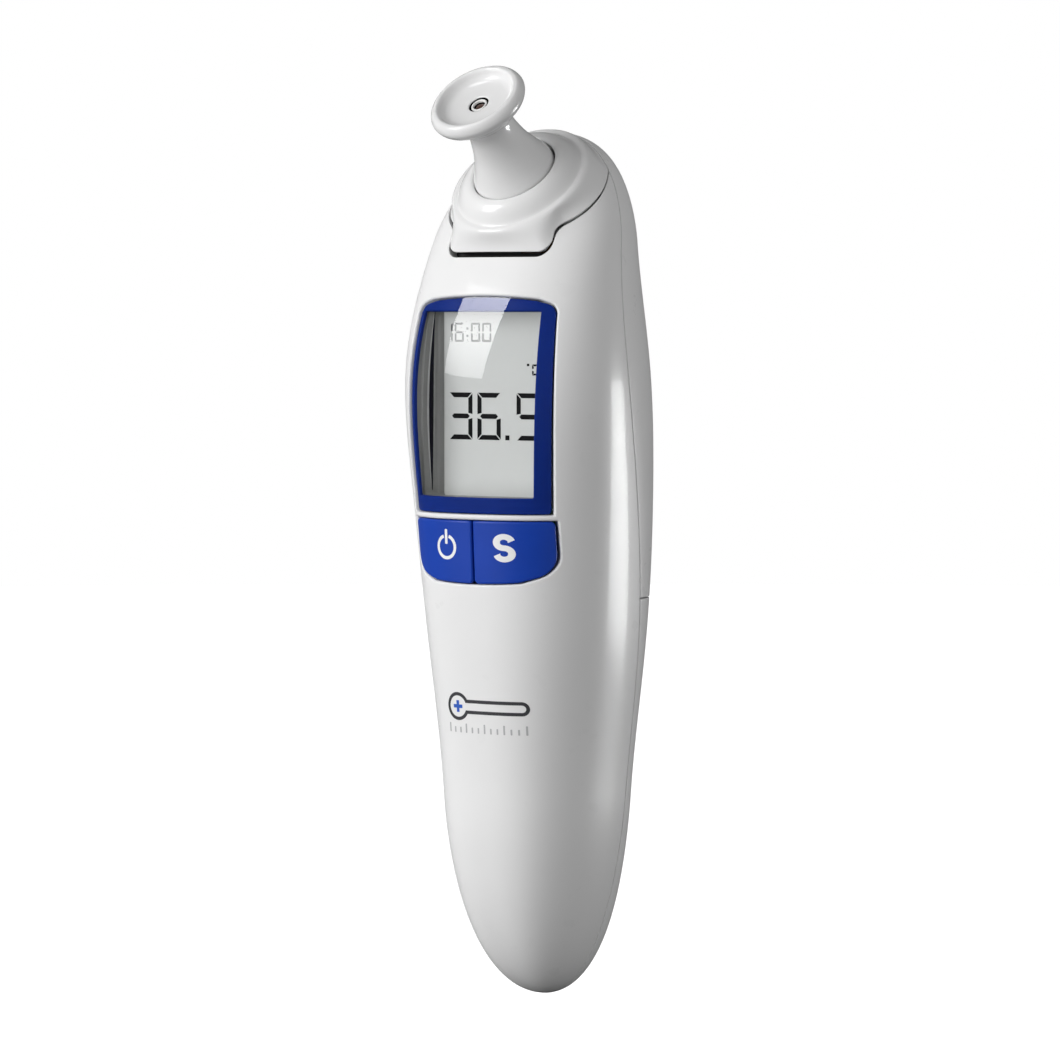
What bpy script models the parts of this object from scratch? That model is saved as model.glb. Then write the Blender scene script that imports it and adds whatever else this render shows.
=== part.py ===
"""Digital ear thermometer with a removable forehead cap.

The handle is a pair of lofted shells closed at the back by a battery cover that slides
down. The head carries an infrared ear probe under a cap, which pulls off along the probe's
axis. Two keys below the display press tact switches on the main board.

Frame: +Z runs up the handle, the display faces -Y, +X is on the right, and the origin is
the middle of the grip. Driving dimensions are in millimetres; meshes are made in metres.
"""
import math

import bmesh
import bpy
import numpy as np
from mathutils import Matrix, Vector

MM = 0.001
GAP = 0.3            # clearance between parts that meet
HALF_GAP = GAP / 2

# ---------------------------------------------------------------- body envelope
# height, half width, y of the widest line, depth in front of it, depth behind it
STATIONS = np.array([
    (-60.0, 13.5, 5.5, 20.1, 13.0),
    (-40.0, 13.7, 6.4, 20.3, 8.5),
    (-22.0, 14.8, 6.9, 21.1, 6.9),
    (0.0, 17.2, 6.5, 22.5, 9.2),
    (25.0, 19.1, 2.7, 20.3, 15.4),
    (45.0, 19.7, -1.2, 15.8, 18.8),
    (65.0, 17.4, 0.6, 10.2, 14.5),
    (85.0, 16.5, 8.5, 3.4, 7.5),
])
TIP_Z = -60.0
TIP_LENGTH = 34.0        # the lower end is rounded off over this height
CROWN_Z = 65.0
CROWN_LENGTH = 18.3      # the head is rounded off over this height
FRONT_POWER = 2.55       # superellipse exponents of the two halves of a section
REAR_POWER = 2.4
WALL = 2.0

# ---------------------------------------------------------------- head and cap
CAP_SLOPE = 38.7         # degrees, the cap's parting plane rises to the rear
CAP_PLANE_Z = 73.2       # its height at y = 0
LIP_Z = 63.3             # lower edge of the finger lip at the front of the cap
LIP_HALF_WIDTH = 10.0
LIP_CORNER = 2.2
LIP_GAP = 0.8            # the finger lip stands clear of the shell
LIP_LEAN = 0.5           # how far the cap's front leans out of the envelope's slope
CAP_WALL = 1.6
HOLLOW_DEPTH = 4.0       # the cutter for the cap's inside reaches this far below its skirt
PROBE_TILT = 45.0        # degrees, the probe leans forward
PROBE_BASE = (0.0, -4.6, 76.5)
COLLAR_FOOT = (11.1, -2.0)       # radius and height about the probe's axis
CONE_HOLE_RADIUS = 7.35
DISH_RADIUS = 8.15
NECK_LENGTH = 16.6
PROBE_TIP = 7.6

# ---------------------------------------------------------------- display and keys
LENS_HALF_WIDTH = 13.7
LENS_BOTTOM = 20.9
LENS_TOP = 56.1
WINDOW_HALF_WIDTH = 10.7
WINDOW_BOTTOM = 23.6
WINDOW_TOP = 53.9
LENS_THICKNESS = 1.2
BEZEL_THICKNESS = 1.2
LCD_FRONT_Y = -9.0
LCD_THICKNESS = 2.6
BACKLIGHT_THICKNESS = 1.7
KEY_TOP = 20.0
KEY_BOTTOM = 9.5
KEY_THICKNESS = 2.2
KEY_STEM_X = 6.2
KEY_STEM_Z = 14.8
BOARD_FRONT_Y = -4.0
BOARD_THICKNESS = 1.6
BOARD_HALF_WIDTH = 14.0
BOARD_BOTTOM = 10.0
BOARD_TOP = 58.0

# ---------------------------------------------------------------- handle
COVER_TOP = 6.6          # the battery cover's upper edge
BATTERY_RADIUS = 5.25    # AAA cells
BATTERY_LENGTH = 44.5
BATTERY_X = 5.5
BATTERY_Y = 5.6
BATTERY_Z = -10.9
TRAY_FRONT_Y = -0.7
TRAY_PLATE = 0.8
TRAY_TOP = 15.2
TRAY_BOTTOM = -37.4
TRAY_HALF_WIDTH = 10.6
CONTACT_THICKNESS = 0.5
SCREW_X = 11.9
SCREW_Z = 4.0
REAR_FLAT_Y = 17.7       # flat on the back that carries the rating label
LABEL_CENTRE_Z = 33.0
LABEL_THICKNESS = 0.35


# ---------------------------------------------------------------- curves and sections
def spline(heights, knots, values):
    """Cubic spline through the stations, with one cubic over each end's two spans."""
    count = len(knots)
    step = np.diff(knots)
    rise = np.diff(values) / step
    system = np.zeros((count, count))
    right = np.zeros(count)
    for i in range(1, count - 1):
        system[i, i - 1:i + 2] = step[i - 1], 2 * (step[i - 1] + step[i]), step[i]
        right[i] = 6 * (rise[i] - rise[i - 1])
    system[0, :3] = step[1], -(step[0] + step[1]), step[0]
    system[-1, -3:] = step[-1], -(step[-2] + step[-1]), step[-2]
    bend = np.linalg.solve(system, right)
    heights = np.asarray(heights, float)
    k = np.clip(np.searchsorted(knots, heights) - 1, 0, count - 2)
    below = heights - knots[k]
    above = knots[k + 1] - heights
    h = step[k]
    curved = (bend[k] * above ** 3 + bend[k + 1] * below ** 3) / (6 * h)
    straight = (values[k] / h - bend[k] * h / 6) * above
    return curved + straight + (values[k + 1] / h - bend[k + 1] * h / 6) * below


def section(z):
    """Half width, y of the widest line, front depth and rear depth at height z."""
    z = np.asarray(z, float)
    width, seam, front, rear = (spline(z, STATIONS[:, 0], STATIONS[:, i]) for i in (1, 2, 3, 4))
    butt = np.sqrt(1 - (1 - np.clip((z - TIP_Z) / TIP_LENGTH, 0, 1)) ** 2)
    climb = np.clip((z - CROWN_Z) / CROWN_LENGTH, 0, 1)
    side = butt * np.sqrt(1 - climb ** 2)
    depth = butt * np.sqrt(1 - climb ** 5)
    return width * side, seam, front * depth, rear * depth


def seam_y(z):
    return section(z)[1]


def cap_plane_z(y):
    return CAP_PLANE_Z + math.tan(math.radians(CAP_SLOPE)) * y


def ring_heights(offset, tip_rings=7, body_rings=14, crown_rings=7):
    """Heights of the sections, closer together where the ends are rounded off."""
    turn = np.linspace(0.0, math.pi / 2, tip_rings + 1)[:-1]
    tip = TIP_Z + TIP_LENGTH * (1 - np.cos(turn))
    body = np.linspace(TIP_Z + TIP_LENGTH, CROWN_Z, body_rings)
    crown = CROWN_Z + CROWN_LENGTH * np.sin(np.linspace(0, math.pi / 2, crown_rings + 1)[1:])
    heights = np.concatenate([tip, body, crown])
    lowest = TIP_Z + 0.1 + 1.5 * offset
    highest = CROWN_Z + CROWN_LENGTH - 0.1 - 1.3 * offset
    inside = heights[(heights > lowest + 0.4) & (heights < highest - 0.4)]
    return np.concatenate([[lowest], inside, [highest]])


def section_ring(z, offset, half_points=14):
    """Closed ring of points round the body at height z, set in by offset."""
    width, seam, front, rear = (float(v) for v in section(z))
    ring = []
    for half, power, depth in ((-1, FRONT_POWER, front), (1, REAR_POWER, rear)):
        for i in range(half_points):
            turn = math.pi * i / half_points
            cos, sin = math.cos(turn), math.sin(turn)
            x = -half * math.copysign(abs(cos) ** (2 / power), cos) * (width - offset)
            ring.append((x, seam + half * sin ** (2 / power) * (depth - offset), z))
    return ring


def arc(cx, cy, radius, start, end, steps):
    """Points on an arc, in degrees from start to end."""
    turns = np.radians(np.linspace(start, end, steps + 1))
    return [(cx + radius * math.cos(t), cy + radius * math.sin(t)) for t in turns]


# ---------------------------------------------------------------- object helpers
def clear_scene():
    for obj in list(bpy.data.objects):
        bpy.data.objects.remove(obj, do_unlink=True)
    for stock in (bpy.data.meshes, bpy.data.curves, bpy.data.materials, bpy.data.collections):
        for item in list(stock):
            stock.remove(item)


def make_collection(name):
    collection = bpy.data.collections.new(name)
    bpy.context.scene.collection.children.link(collection)
    return collection


def plastic(name, colour, roughness=0.35, metallic=0.0, alpha=1.0):
    if name in bpy.data.materials:
        return bpy.data.materials[name]
    material = bpy.data.materials.new(name)
    material.use_nodes = True
    shader = material.node_tree.nodes["Principled BSDF"]
    shader.inputs["Base Color"].default_value = (*colour, 1.0)
    shader.inputs["Roughness"].default_value = roughness
    shader.inputs["Metallic"].default_value = metallic
    shader.inputs["Alpha"].default_value = alpha
    material.diffuse_color = (*colour, alpha)
    return material


def add_part(name, mesh, material, parent=None):
    obj = bpy.data.objects.new(name, mesh)
    PARTS.objects.link(obj)
    obj.data.materials.append(material)
    obj.parent = parent
    return obj


def add_cutter(name, mesh, parent=None):
    obj = bpy.data.objects.new(name, mesh)
    CUTTERS.objects.link(obj)
    obj.hide_render = True
    obj.display_type = 'WIRE'
    obj.parent = parent
    return obj


def finish_mesh(bm, name, scale=MM):
    """Weld, turn the faces outwards, scale to metres and write a mesh."""
    bmesh.ops.remove_doubles(bm, verts=bm.verts, dist=0.002)
    bmesh.ops.recalc_face_normals(bm, faces=bm.faces)
    bmesh.ops.scale(bm, verts=bm.verts, vec=(scale, scale, scale))
    mesh = bpy.data.meshes.new(name)
    bm.to_mesh(mesh)
    bm.free()
    return mesh


def loft(name, rings):
    """Closed body through rings of equal length, with a fan over each end."""
    bm = bmesh.new()
    rows = [[bm.verts.new(p) for p in ring] for ring in rings]
    for low, high in zip(rows, rows[1:]):
        for i, vert in enumerate(low):
            j = (i + 1) % len(low)
            bm.faces.new((vert, low[j], high[j], high[i]))
    for end in (rows[0], rows[-1]):
        hub = bm.verts.new(sum((v.co for v in end), Vector()) / len(end))
        for i, vert in enumerate(end):
            bm.faces.new((vert, end[(i + 1) % len(end)], hub))
    return finish_mesh(bm, name)


def body_mesh(name, offset):
    return loft(name, [section_ring(z, offset) for z in ring_heights(offset)])


def box_mesh(name, low, high, bevel=0.0):
    bm = bmesh.new()
    bmesh.ops.create_cube(bm, size=1.0)
    for vert in bm.verts:
        vert.co = Vector([(a + b) / 2 + c * (b - a) for a, b, c in zip(low, high, vert.co)])
    if bevel:
        bmesh.ops.bevel(bm, geom=bm.edges[:], offset=bevel, segments=1, affect='EDGES')
    return finish_mesh(bm, name)


def cylinder_mesh(name, radius, low, high, centre=(0.0, 0.0), axis='Z', segments=24):
    """Cylinder from low to high along an axis, its centre given in the other two axes."""
    bm = bmesh.new()
    bmesh.ops.create_cone(bm, cap_ends=True, segments=segments, radius1=radius,
                          radius2=radius, depth=high - low)
    place = Matrix.Translation((centre[0], centre[1], (low + high) / 2))
    if axis == 'Y':
        turn = Matrix.Rotation(math.radians(-90), 4, 'X')
        place = Matrix.Translation((centre[0], (low + high) / 2, centre[1])) @ turn
    bmesh.ops.transform(bm, matrix=place, verts=bm.verts)
    return finish_mesh(bm, name)


def outline_mesh(name, points, low, high, plane='XZ'):
    """Flat outline extruded from low to high: an XZ outline along Y, a YZ one along X."""
    curve = bpy.data.curves.new(name, 'CURVE')
    curve.dimensions = '2D'
    curve.fill_mode = 'BOTH'
    curve.extrude = (high - low) / 2
    line = curve.splines.new('POLY')
    line.points.add(len(points) - 1)
    for point, (a, b) in zip(line.points, points):
        point.co = (a, b, 0.0, 1.0)
    line.use_cyclic_u = True
    shape = bpy.data.objects.new(name, curve)
    bpy.context.scene.collection.objects.link(shape)
    bpy.context.view_layer.update()
    evaluated = shape.evaluated_get(bpy.context.evaluated_depsgraph_get())
    flat = bpy.data.meshes.new_from_object(evaluated)
    bm = bmesh.new()
    bm.from_mesh(flat)
    middle = (low + high) / 2
    if plane == 'XZ':
        place = Matrix.Translation((0, middle, 0)) @ Matrix.Rotation(math.radians(90), 4, 'X')
    else:
        place = Matrix(((0, 0, 1, middle), (1, 0, 0, 0), (0, 1, 0, 0), (0, 0, 0, 1)))
    bmesh.ops.transform(bm, matrix=place, verts=bm.verts)
    bpy.data.objects.remove(shape, do_unlink=True)
    bpy.data.curves.remove(curve)
    bpy.data.meshes.remove(flat)
    return finish_mesh(bm, name)


def joined_mesh(name, meshes):
    """One mesh that holds several separate closed shapes."""
    bm = bmesh.new()
    for mesh in meshes:
        bm.from_mesh(mesh)
        bpy.data.meshes.remove(mesh)
    joined = bpy.data.meshes.new(name)
    bm.to_mesh(joined)
    bm.free()
    return joined


def turned_part(name, profile, material, parent=None, steps=32):
    """Turn a profile of (radius, height) points, outer side first and downwards."""
    bm = bmesh.new()
    verts = [bm.verts.new((radius * MM, 0.0, height * MM)) for radius, height in profile]
    for a, b in zip(verts, verts[1:]):
        bm.edges.new((a, b))
    if profile[0][0] > 0 and profile[-1][0] > 0:
        bm.edges.new((verts[-1], verts[0]))
    mesh = bpy.data.meshes.new(name)
    bm.to_mesh(mesh)
    bm.free()
    obj = add_part(name, mesh, material, parent)
    screw = obj.modifiers.new("turn", 'SCREW')
    screw.steps = steps
    screw.render_steps = steps
    screw.use_merge_vertices = True
    screw.merge_threshold = 0.00001
    screw.use_smooth_shade = True
    return obj


def boolean(obj, cutter, operation='DIFFERENCE'):
    modifier = obj.modifiers.new(cutter.name, 'BOOLEAN')
    modifier.object = cutter
    modifier.operation = operation


def set_origin(obj, point):
    """Move an object's origin to a point given in millimetres, keeping its shape in place."""
    shift = Vector(point) * MM
    obj.data.transform(Matrix.Translation(-shift))
    obj.location = shift


# ---------------------------------------------------------------- shared cutters
def make_body_cutters():
    """Bodies set in from the envelope, and the blocks that divide it into parts."""
    cutters = {}
    for key, offset in (("skin", 0.0), ("lens_back", LENS_THICKNESS), ("wall", WALL),
                        ("bezel_front", LENS_THICKNESS + 0.2),
                        ("bezel_back", LENS_THICKNESS + 0.2 + BEZEL_THICKNESS),
                        ("key_back", KEY_THICKNESS),
                        ("interior", LENS_THICKNESS + BEZEL_THICKNESS + 0.6)):
        cutters[key] = add_cutter("cut_" + key, body_mesh("cut_" + key, offset))

    heights = np.linspace(-75.0, 95.0, 52)
    in_range = np.clip(heights, TIP_Z, CROWN_Z + CROWN_LENGTH)
    line = [(float(seam_y(s)), float(z)) for s, z in zip(in_range, heights)]
    for key, side, shift in (("rear", 60.0, -HALF_GAP), ("front", -60.0, HALF_GAP)):
        outline = [(y + shift, z) for y, z in line] + [(side, 95.0), (side, -75.0)]
        cutters[key] = add_cutter("cut_" + key, outline_mesh("cut_" + key, outline, -40, 40, 'YZ'))

    for key, shift, end in (("above", -HALF_GAP, 140.0), ("below", HALF_GAP, -140.0)):
        lift = shift / math.cos(math.radians(CAP_SLOPE))
        outline = [(y, cap_plane_z(y) + lift) for y in (-60.0, 60.0)] + [(60.0, end), (-60.0, end)]
        cutters[key] = add_cutter("cut_" + key, outline_mesh("cut_" + key, outline, -40, 40, 'YZ'))
    cutters["lip_notch"] = lip_cutter("cut_lip_notch", LIP_GAP - HALF_GAP)
    boolean(cutters["below"], lip_cutter("cut_lip_room", -HALF_GAP))
    return cutters


def lip_cutter(name, grow):
    """Prism of the cap's finger lip in front view, grown all round by a clearance."""
    half = LIP_HALF_WIDTH + grow
    low = LIP_Z - grow
    corner = arc(half - LIP_CORNER, low + LIP_CORNER, LIP_CORNER, -90, 0, 4)
    side = corner + [(half, 90.0)]
    outline = side + [(-x, z) for x, z in reversed(side)]
    return add_cutter(name, outline_mesh(name, outline, -40.0, -3.0))


def lens_outline(shrink):
    """Front view of the display lens: square foot, arched top and round upper corners."""
    half = LENS_HALF_WIDTH - shrink
    top = LENS_TOP - shrink
    corner = 3.4
    drop = 1.3
    right = [(half - 0.4, LENS_BOTTOM + shrink), (half, LENS_BOTTOM + shrink + 0.4)]
    right += arc(half - corner, top - drop - corner, corner, 0, 75, 5)
    right += [(x, top - drop * (x / half) ** 2) for x in (half * 0.6, half * 0.3)]
    return right + [(0.0, top)] + [(-x, z) for x, z in reversed(right)]


def key_outline(shrink):
    """Front view of the opening for the two keys, round at its lower corners."""
    half = LENS_HALF_WIDTH - shrink
    low = KEY_BOTTOM + shrink
    corner = 4.2
    rise = 0.9
    right = [(half * 0.3, low + rise * 0.09), (half * 0.6, low + rise * 0.36)]
    right += arc(half - corner, low + rise + corner, corner, -75, 0, 5)
    right += [(half, KEY_TOP - shrink - 0.4), (half - 0.4, KEY_TOP - shrink)]
    return [(0.0, low)] + right + [(-x, z) for x, z in reversed(right)]


# ---------------------------------------------------------------- shells
def make_shells(cut):
    white = plastic("shell_white", (0.80, 0.80, 0.80), 0.22)

    front = add_part("front_shell", body_mesh("front_shell", 0.0), white)
    boolean(front, cut["wall"])
    holes = joined_mesh("cut_front_holes", [outline_mesh("hole", lens_outline(0.0), -40, -6),
                                            outline_mesh("hole", key_outline(0.0), -40, -6)])
    boolean(front, add_cutter("cut_front_holes", holes))
    posts = []
    for side in (-1, 1):
        name = "cut_post_right" if side > 0 else "cut_post_left"
        post = cylinder_mesh(name, 2.3, -17.0, TRAY_FRONT_Y - GAP, (side * SCREW_X, SCREW_Z), 'Y', 16)
        posts.append(add_cutter(name, post))
        boolean(posts[-1], cut["skin_inset"], 'INTERSECT')
        name = name.replace("post", "pilot")
        pilot = cylinder_mesh(name, 1.1, -7.0, TRAY_FRONT_Y, (side * SCREW_X, SCREW_Z), 'Y', 12)
        boolean(posts[-1], add_cutter(name, pilot))
    for post in posts:
        boolean(front, post, 'UNION')
    for cutter in (cut["rear"], cut["above"], cut["lip_notch"]):
        boolean(front, cutter)

    rear = add_part("rear_shell", body_mesh("rear_shell", 0.0), white)
    lower = box_mesh("cut_below_rear", (-40, -40, -90), (40, 40, COVER_TOP + HALF_GAP))
    flat = box_mesh("cut_rear_flat", (-40, REAR_FLAT_Y, -10), (40, 60, 90))
    pocket = box_mesh("cut_label_pocket", (-7.0, REAR_FLAT_Y - 0.6, LABEL_CENTRE_Z - 8.0),
                      (7.0, 40, LABEL_CENTRE_Z + 8.0))
    for cutter in (cut["wall"], cut["front"], add_cutter("cut_below_rear", lower),
                   add_cutter("cut_rear_flat", flat), add_cutter("cut_label_pocket", pocket)):
        boolean(rear, cutter)

    cover = add_part("battery_cover", body_mesh("battery_cover", 0.0), white)
    upper = box_mesh("cut_above_cover", (-40, -40, COVER_TOP - HALF_GAP), (40, 40, 120))
    for cutter in (cut["wall"], cut["front"], add_cutter("cut_above_cover", upper)):
        boolean(cover, cutter)
    set_origin(cover, (0.0, 6.5, COVER_TOP))

    label = box_mesh("rear_label", (-6.7, REAR_FLAT_Y - LABEL_THICKNESS, LABEL_CENTRE_Z - 7.7),
                     (6.7, REAR_FLAT_Y, LABEL_CENTRE_Z + 7.7))
    add_part("rear_label", label, plastic("label_silver", (0.62, 0.63, 0.65), 0.4))


# ---------------------------------------------------------------- cap
def cap_edge_z(x, y):
    """Height of the cap's lower edge: the parting plane, stepped down to the finger lip."""
    plane = cap_plane_z(y)
    part = min(max((abs(x) - LIP_HALF_WIDTH + 1.7) / 2.3, 0.0), 1.0)
    blend = part * part * (3 - 2 * part)
    return plane * blend + min(plane, LIP_Z) * (1 - blend)


def crown_corner():
    """Height at which the cap's parting plane meets the seam."""
    low, high = CROWN_Z, CROWN_Z + CROWN_LENGTH
    for _ in range(40):
        middle = (low + high) / 2
        if middle < cap_plane_z(float(seam_y(middle))):
            low = middle
        else:
            high = middle
    return low


def head_outline(lift=0.0, front_points=15, crown_points=7):
    """Edge of the cap on the envelope, from the front to the crown on the right side.

    It follows the parting plane forward of the seam, and the seam over the crown. A lift
    moves it inwards over the envelope.
    """
    corner_z = crown_corner()
    corner_x, corner_y = (float(v) for v in section(corner_z)[:2])
    points = []
    for turn in np.linspace(-math.pi / 2, math.atan2(corner_y, corner_x), front_points):
        inner, outer = 0.0, 40.0
        for _ in range(40):
            radius = (inner + outer) / 2
            x, y = radius * math.cos(turn), radius * math.sin(turn)
            z = cap_edge_z(x, y) + lift
            width, seam, front, rear = (float(v) for v in section(z))
            depth, power = (front, FRONT_POWER) if y < seam else (rear, REAR_POWER)
            if (x / width) ** power + abs((y - seam) / depth) ** power < 1:
                inner = radius
            else:
                outer = radius
        points.append(Vector((x, y, z)))
    top = CROWN_Z + CROWN_LENGTH
    for climb in np.linspace(0.0, math.pi / 2, crown_points + 1)[1:]:
        z = corner_z + (top - corner_z) * math.sin(climb)
        width, seam = (float(v) for v in section(z)[:2])
        points.append(Vector((width, seam - lift, z)))
    return points


def both_sides(right):
    """Closed outline from its right half, which starts and ends on the middle plane."""
    return right + [Vector((-p.x, p.y, p.z)) for p in reversed(right[1:-1])]


def cap_rings(steps=5):
    """Rings of the cap's outer skin in the probe's frame, from below its edge to the collar."""
    to_axis = PROBE_MATRIX.inverted()
    lift = 0.5
    edge = both_sides(head_outline())
    raised = both_sides(head_outline(lift))
    skirt, bands, directions = [], [[] for _ in range(steps + 1)], []
    for point, above in zip(edge, raised):
        climb = (above - point).normalized()
        here = to_axis @ point
        radial = Vector((here.x, here.y, 0.0)).normalized()
        front = max(0.0, -radial.y) ** 2
        lean = (climb + Vector((0.0, -LIP_LEAN * front, 0.0))).normalized()
        foot = radial * COLLAR_FOOT[0] + Vector((0.0, 0.0, COLLAR_FOOT[1]))
        first = here + to_axis.to_3x3() @ lean * 2.3
        second = foot + radial * 1.6
        skirt.append(here - to_axis.to_3x3() @ climb * 5.0)
        directions.append(radial)
        for band, t in zip(bands, np.linspace(0.0, 1.0, steps + 1)):
            s = 1 - t
            band.append(here * s ** 3 + first * 3 * s * s * t + second * 3 * s * t * t
                        + foot * t ** 3)
    collar = [(10.5, -1.8), (10.1, -1.0), (9.7, -0.1), (9.1, 0.55), (8.3, 0.8)]
    rings = [[d * radius + Vector((0.0, 0.0, height)) for d in directions]
             for radius, height in collar]
    return [skirt] + bands + rings


def cap_hollow_rings(rings, bands):
    """Rings of the cap's inside: nearer the axis by the wall, and lower towards the collar."""
    hollow = []
    for k, ring in enumerate(rings[:bands]):
        drop = CAP_WALL * (k - 1) / (bands - 2) if k else HOLLOW_DEPTH
        hollow.append([Vector((p.x, p.y, 0.0)) * (1 - CAP_WALL / math.hypot(p.x, p.y))
                       + Vector((0.0, 0.0, p.z - drop)) for p in ring])
    roof = COLLAR_FOOT[1] - CAP_WALL
    hollow.append([Vector((p.x, p.y, 0.0)).normalized() * 8.0 + Vector((0.0, 0.0, roof))
                   for p in rings[bands - 1]])
    return hollow


def make_cap(cut, probe):
    white = plastic("cap_white", (0.82, 0.82, 0.82), 0.2)
    rings = cap_rings()
    shell = add_part("cap_shell", loft("cap_shell", rings), white, probe)
    inner = loft("cut_cap_hollow", cap_hollow_rings(rings, 7))
    hollow = add_cutter("cut_cap_hollow", inner, probe)
    hole = cylinder_mesh("cut_cone_hole", CONE_HOLE_RADIUS, -12.0, 6.0, segments=40)
    for cutter in (hollow, add_cutter("cut_cone_hole", hole, probe), cut["below"], cut["rear"]):
        boolean(shell, cutter)

    top = NECK_LENGTH
    rim = DISH_RADIUS
    cone = [(rim - 0.7, top - 0.15), (rim - 0.15, top - 0.8), (rim, top - 1.5),
            (rim - 0.5, top - 2.4), (rim - 2.0, top - 3.3), (5.6, top - 3.9), (5.3, top - 4.5),
            (4.1, top - 5.2), (3.95, top - 6.2), (4.25, 8.1), (4.85, 5.6), (5.6, 3.7), (6.5, 1.9),
            (6.95, 0.7), (6.95, -4.45), (8.5, -4.45), (8.5, -5.0), (6.6, -5.0), (6.1, -0.6),
            (5.2, 2.2), (4.3, 4.7), (3.6, 7.4), (3.2, 9.2), (1.65, 9.6), (1.7, top - 1.6),
            (5.4, top - 1.4), (6.1, top - 0.8), (6.6, top - 0.2), (7.0, top)]
    turned_part("cap_cone", cone, white, probe, 36)
    tube = [(1.4, top - 1.7), (1.4, 9.4), (1.0, 9.4), (1.0, top - 1.7)]
    turned_part("cap_tube", tube, plastic("tube_white", (0.85, 0.85, 0.85), 0.3), probe, 20)
    window = [(0.0, top - 2.3), (0.85, top - 2.3), (0.85, top - 3.0), (0.0, top - 3.0)]
    turned_part("cap_window", window, plastic("filter_brown", (0.10, 0.06, 0.04), 0.2), probe, 20)


# ---------------------------------------------------------------- probe
def make_probe(cut, probe):
    white = plastic("probe_white", (0.78, 0.78, 0.79), 0.35)
    metal = plastic("nickel", (0.75, 0.74, 0.70), 0.25, 1.0)
    plane_drop = 0.6
    thick = 2.6
    outline = [(y, cap_plane_z(y) - plane_drop - extra) for y, extra in
               ((-30.0, 0.0), (30.0, 0.0), (30.0, thick), (-30.0, thick))]
    slab = outline_mesh("probe_housing", outline, -30, 30, 'YZ')
    housing = add_part("probe_housing", slab, plastic("inner_grey", (0.72, 0.72, 0.73), 0.5))
    boolean(housing, cut["interior"], 'INTERSECT')
    bore = cylinder_mesh("cut_sensor_bore", 4.3, -20.0, 5.0, segments=28)
    boolean(housing, add_cutter("cut_sensor_bore", bore, probe))

    cone = [(2.35, PROBE_TIP), (2.9, PROBE_TIP - 0.4), (3.1, PROBE_TIP - 1.2), (5.2, -4.4),
            (6.2, -4.6), (6.2, -5.1), (2.5, -5.1), (2.5, PROBE_TIP - 1.0), (2.1, PROBE_TIP - 1.0),
            (2.1, PROBE_TIP)]
    turned_part("ear_probe", cone, white, probe, 28)
    window = [(0.0, PROBE_TIP - 0.2), (1.9, PROBE_TIP - 0.2), (1.9, PROBE_TIP - 0.8),
              (0.0, PROBE_TIP - 0.8)]
    turned_part("probe_window", window, plastic("filter_dark", (0.08, 0.05, 0.05), 0.15), probe, 20)
    guide = [(2.2, PROBE_TIP - 1.4), (2.2, -5.9), (1.8, -5.9), (1.8, PROBE_TIP - 1.4)]
    turned_part("wave_guide", guide, plastic("gold", (0.80, 0.62, 0.28), 0.2, 1.0), probe, 20)
    can = [(0.0, -6.1), (2.3, -6.1), (2.3, -8.6), (2.7, -8.6), (2.7, -9.1), (0.0, -9.1)]
    turned_part("thermopile_sensor", can, metal, probe, 20)
    holder = [(4.0, -6.0), (4.0, -10.2), (3.0, -10.2), (3.0, -6.0)]
    turned_part("sensor_holder", holder, plastic("zinc", (0.55, 0.56, 0.58), 0.4, 1.0), probe, 24)
    board = [(0.0, -10.5), (4.4, -10.5), (4.4, -11.5), (0.0, -11.5)]
    turned_part("sensor_board", board, plastic("board_green", (0.04, 0.25, 0.12), 0.5), probe, 24)


# ---------------------------------------------------------------- display
def make_display(cut):
    clear = plastic("clear_lens", (0.90, 0.92, 0.95), 0.05, alpha=0.35)
    lens = add_part("display_lens", outline_mesh("display_lens", lens_outline(0.2), -40, -6), clear)
    boolean(lens, cut["skin"], 'INTERSECT')
    boolean(lens, cut["lens_back"])

    blue = plastic("bezel_blue", (0.03, 0.09, 0.45), 0.3)
    bezel = outline_mesh("display_bezel", lens_outline(0.3), -40, -6)
    bezel = add_part("display_bezel", bezel, blue)
    window = box_mesh("cut_window", (-WINDOW_HALF_WIDTH, -40, WINDOW_BOTTOM),
                      (WINDOW_HALF_WIDTH, 0, WINDOW_TOP))
    boolean(bezel, cut["bezel_front"], 'INTERSECT')
    boolean(bezel, cut["bezel_back"])
    boolean(bezel, add_cutter("cut_window", window))

    rim = 1.3
    room = box_mesh("cut_lcd_room", (-WINDOW_HALF_WIDTH - 0.1, -40, WINDOW_BOTTOM - 0.1),
                    (WINDOW_HALF_WIDTH + 0.1, 0, WINDOW_TOP + 0.1))
    frame = box_mesh("lcd_frame", (-WINDOW_HALF_WIDTH - rim, -40, WINDOW_BOTTOM - rim),
                     (WINDOW_HALF_WIDTH + rim, LCD_FRONT_Y - 0.2, WINDOW_TOP + rim))
    frame = add_part("lcd_frame", frame, plastic("frame_grey", (0.66, 0.67, 0.68), 0.45))
    boolean(frame, cut["interior"], 'INTERSECT')
    boolean(frame, add_cutter("cut_lcd_room", room))

    half = WINDOW_HALF_WIDTH + rim
    low, high = WINDOW_BOTTOM - rim, WINDOW_TOP + rim
    back = LCD_FRONT_Y + LCD_THICKNESS
    glass = box_mesh("lcd_glass", (-half, LCD_FRONT_Y, low), (half, back, high))
    add_part("lcd_glass", glass, plastic("lcd_grey", (0.52, 0.53, 0.51), 0.2))
    light = box_mesh("lcd_backlight", (-half, back + 0.2, low + 4.0),
                     (half, back + 0.2 + BACKLIGHT_THICKNESS, high))
    add_part("lcd_backlight", light, plastic("diffuser", (0.85, 0.86, 0.88), 0.6))
    strip = box_mesh("lcd_connector", (-half + 1, back + 0.2, low),
                     (half - 1, BOARD_FRONT_Y - 0.2, low + 3.6))
    add_part("lcd_connector", strip, plastic("elastomer", (0.30, 0.25, 0.30), 0.8))


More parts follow.
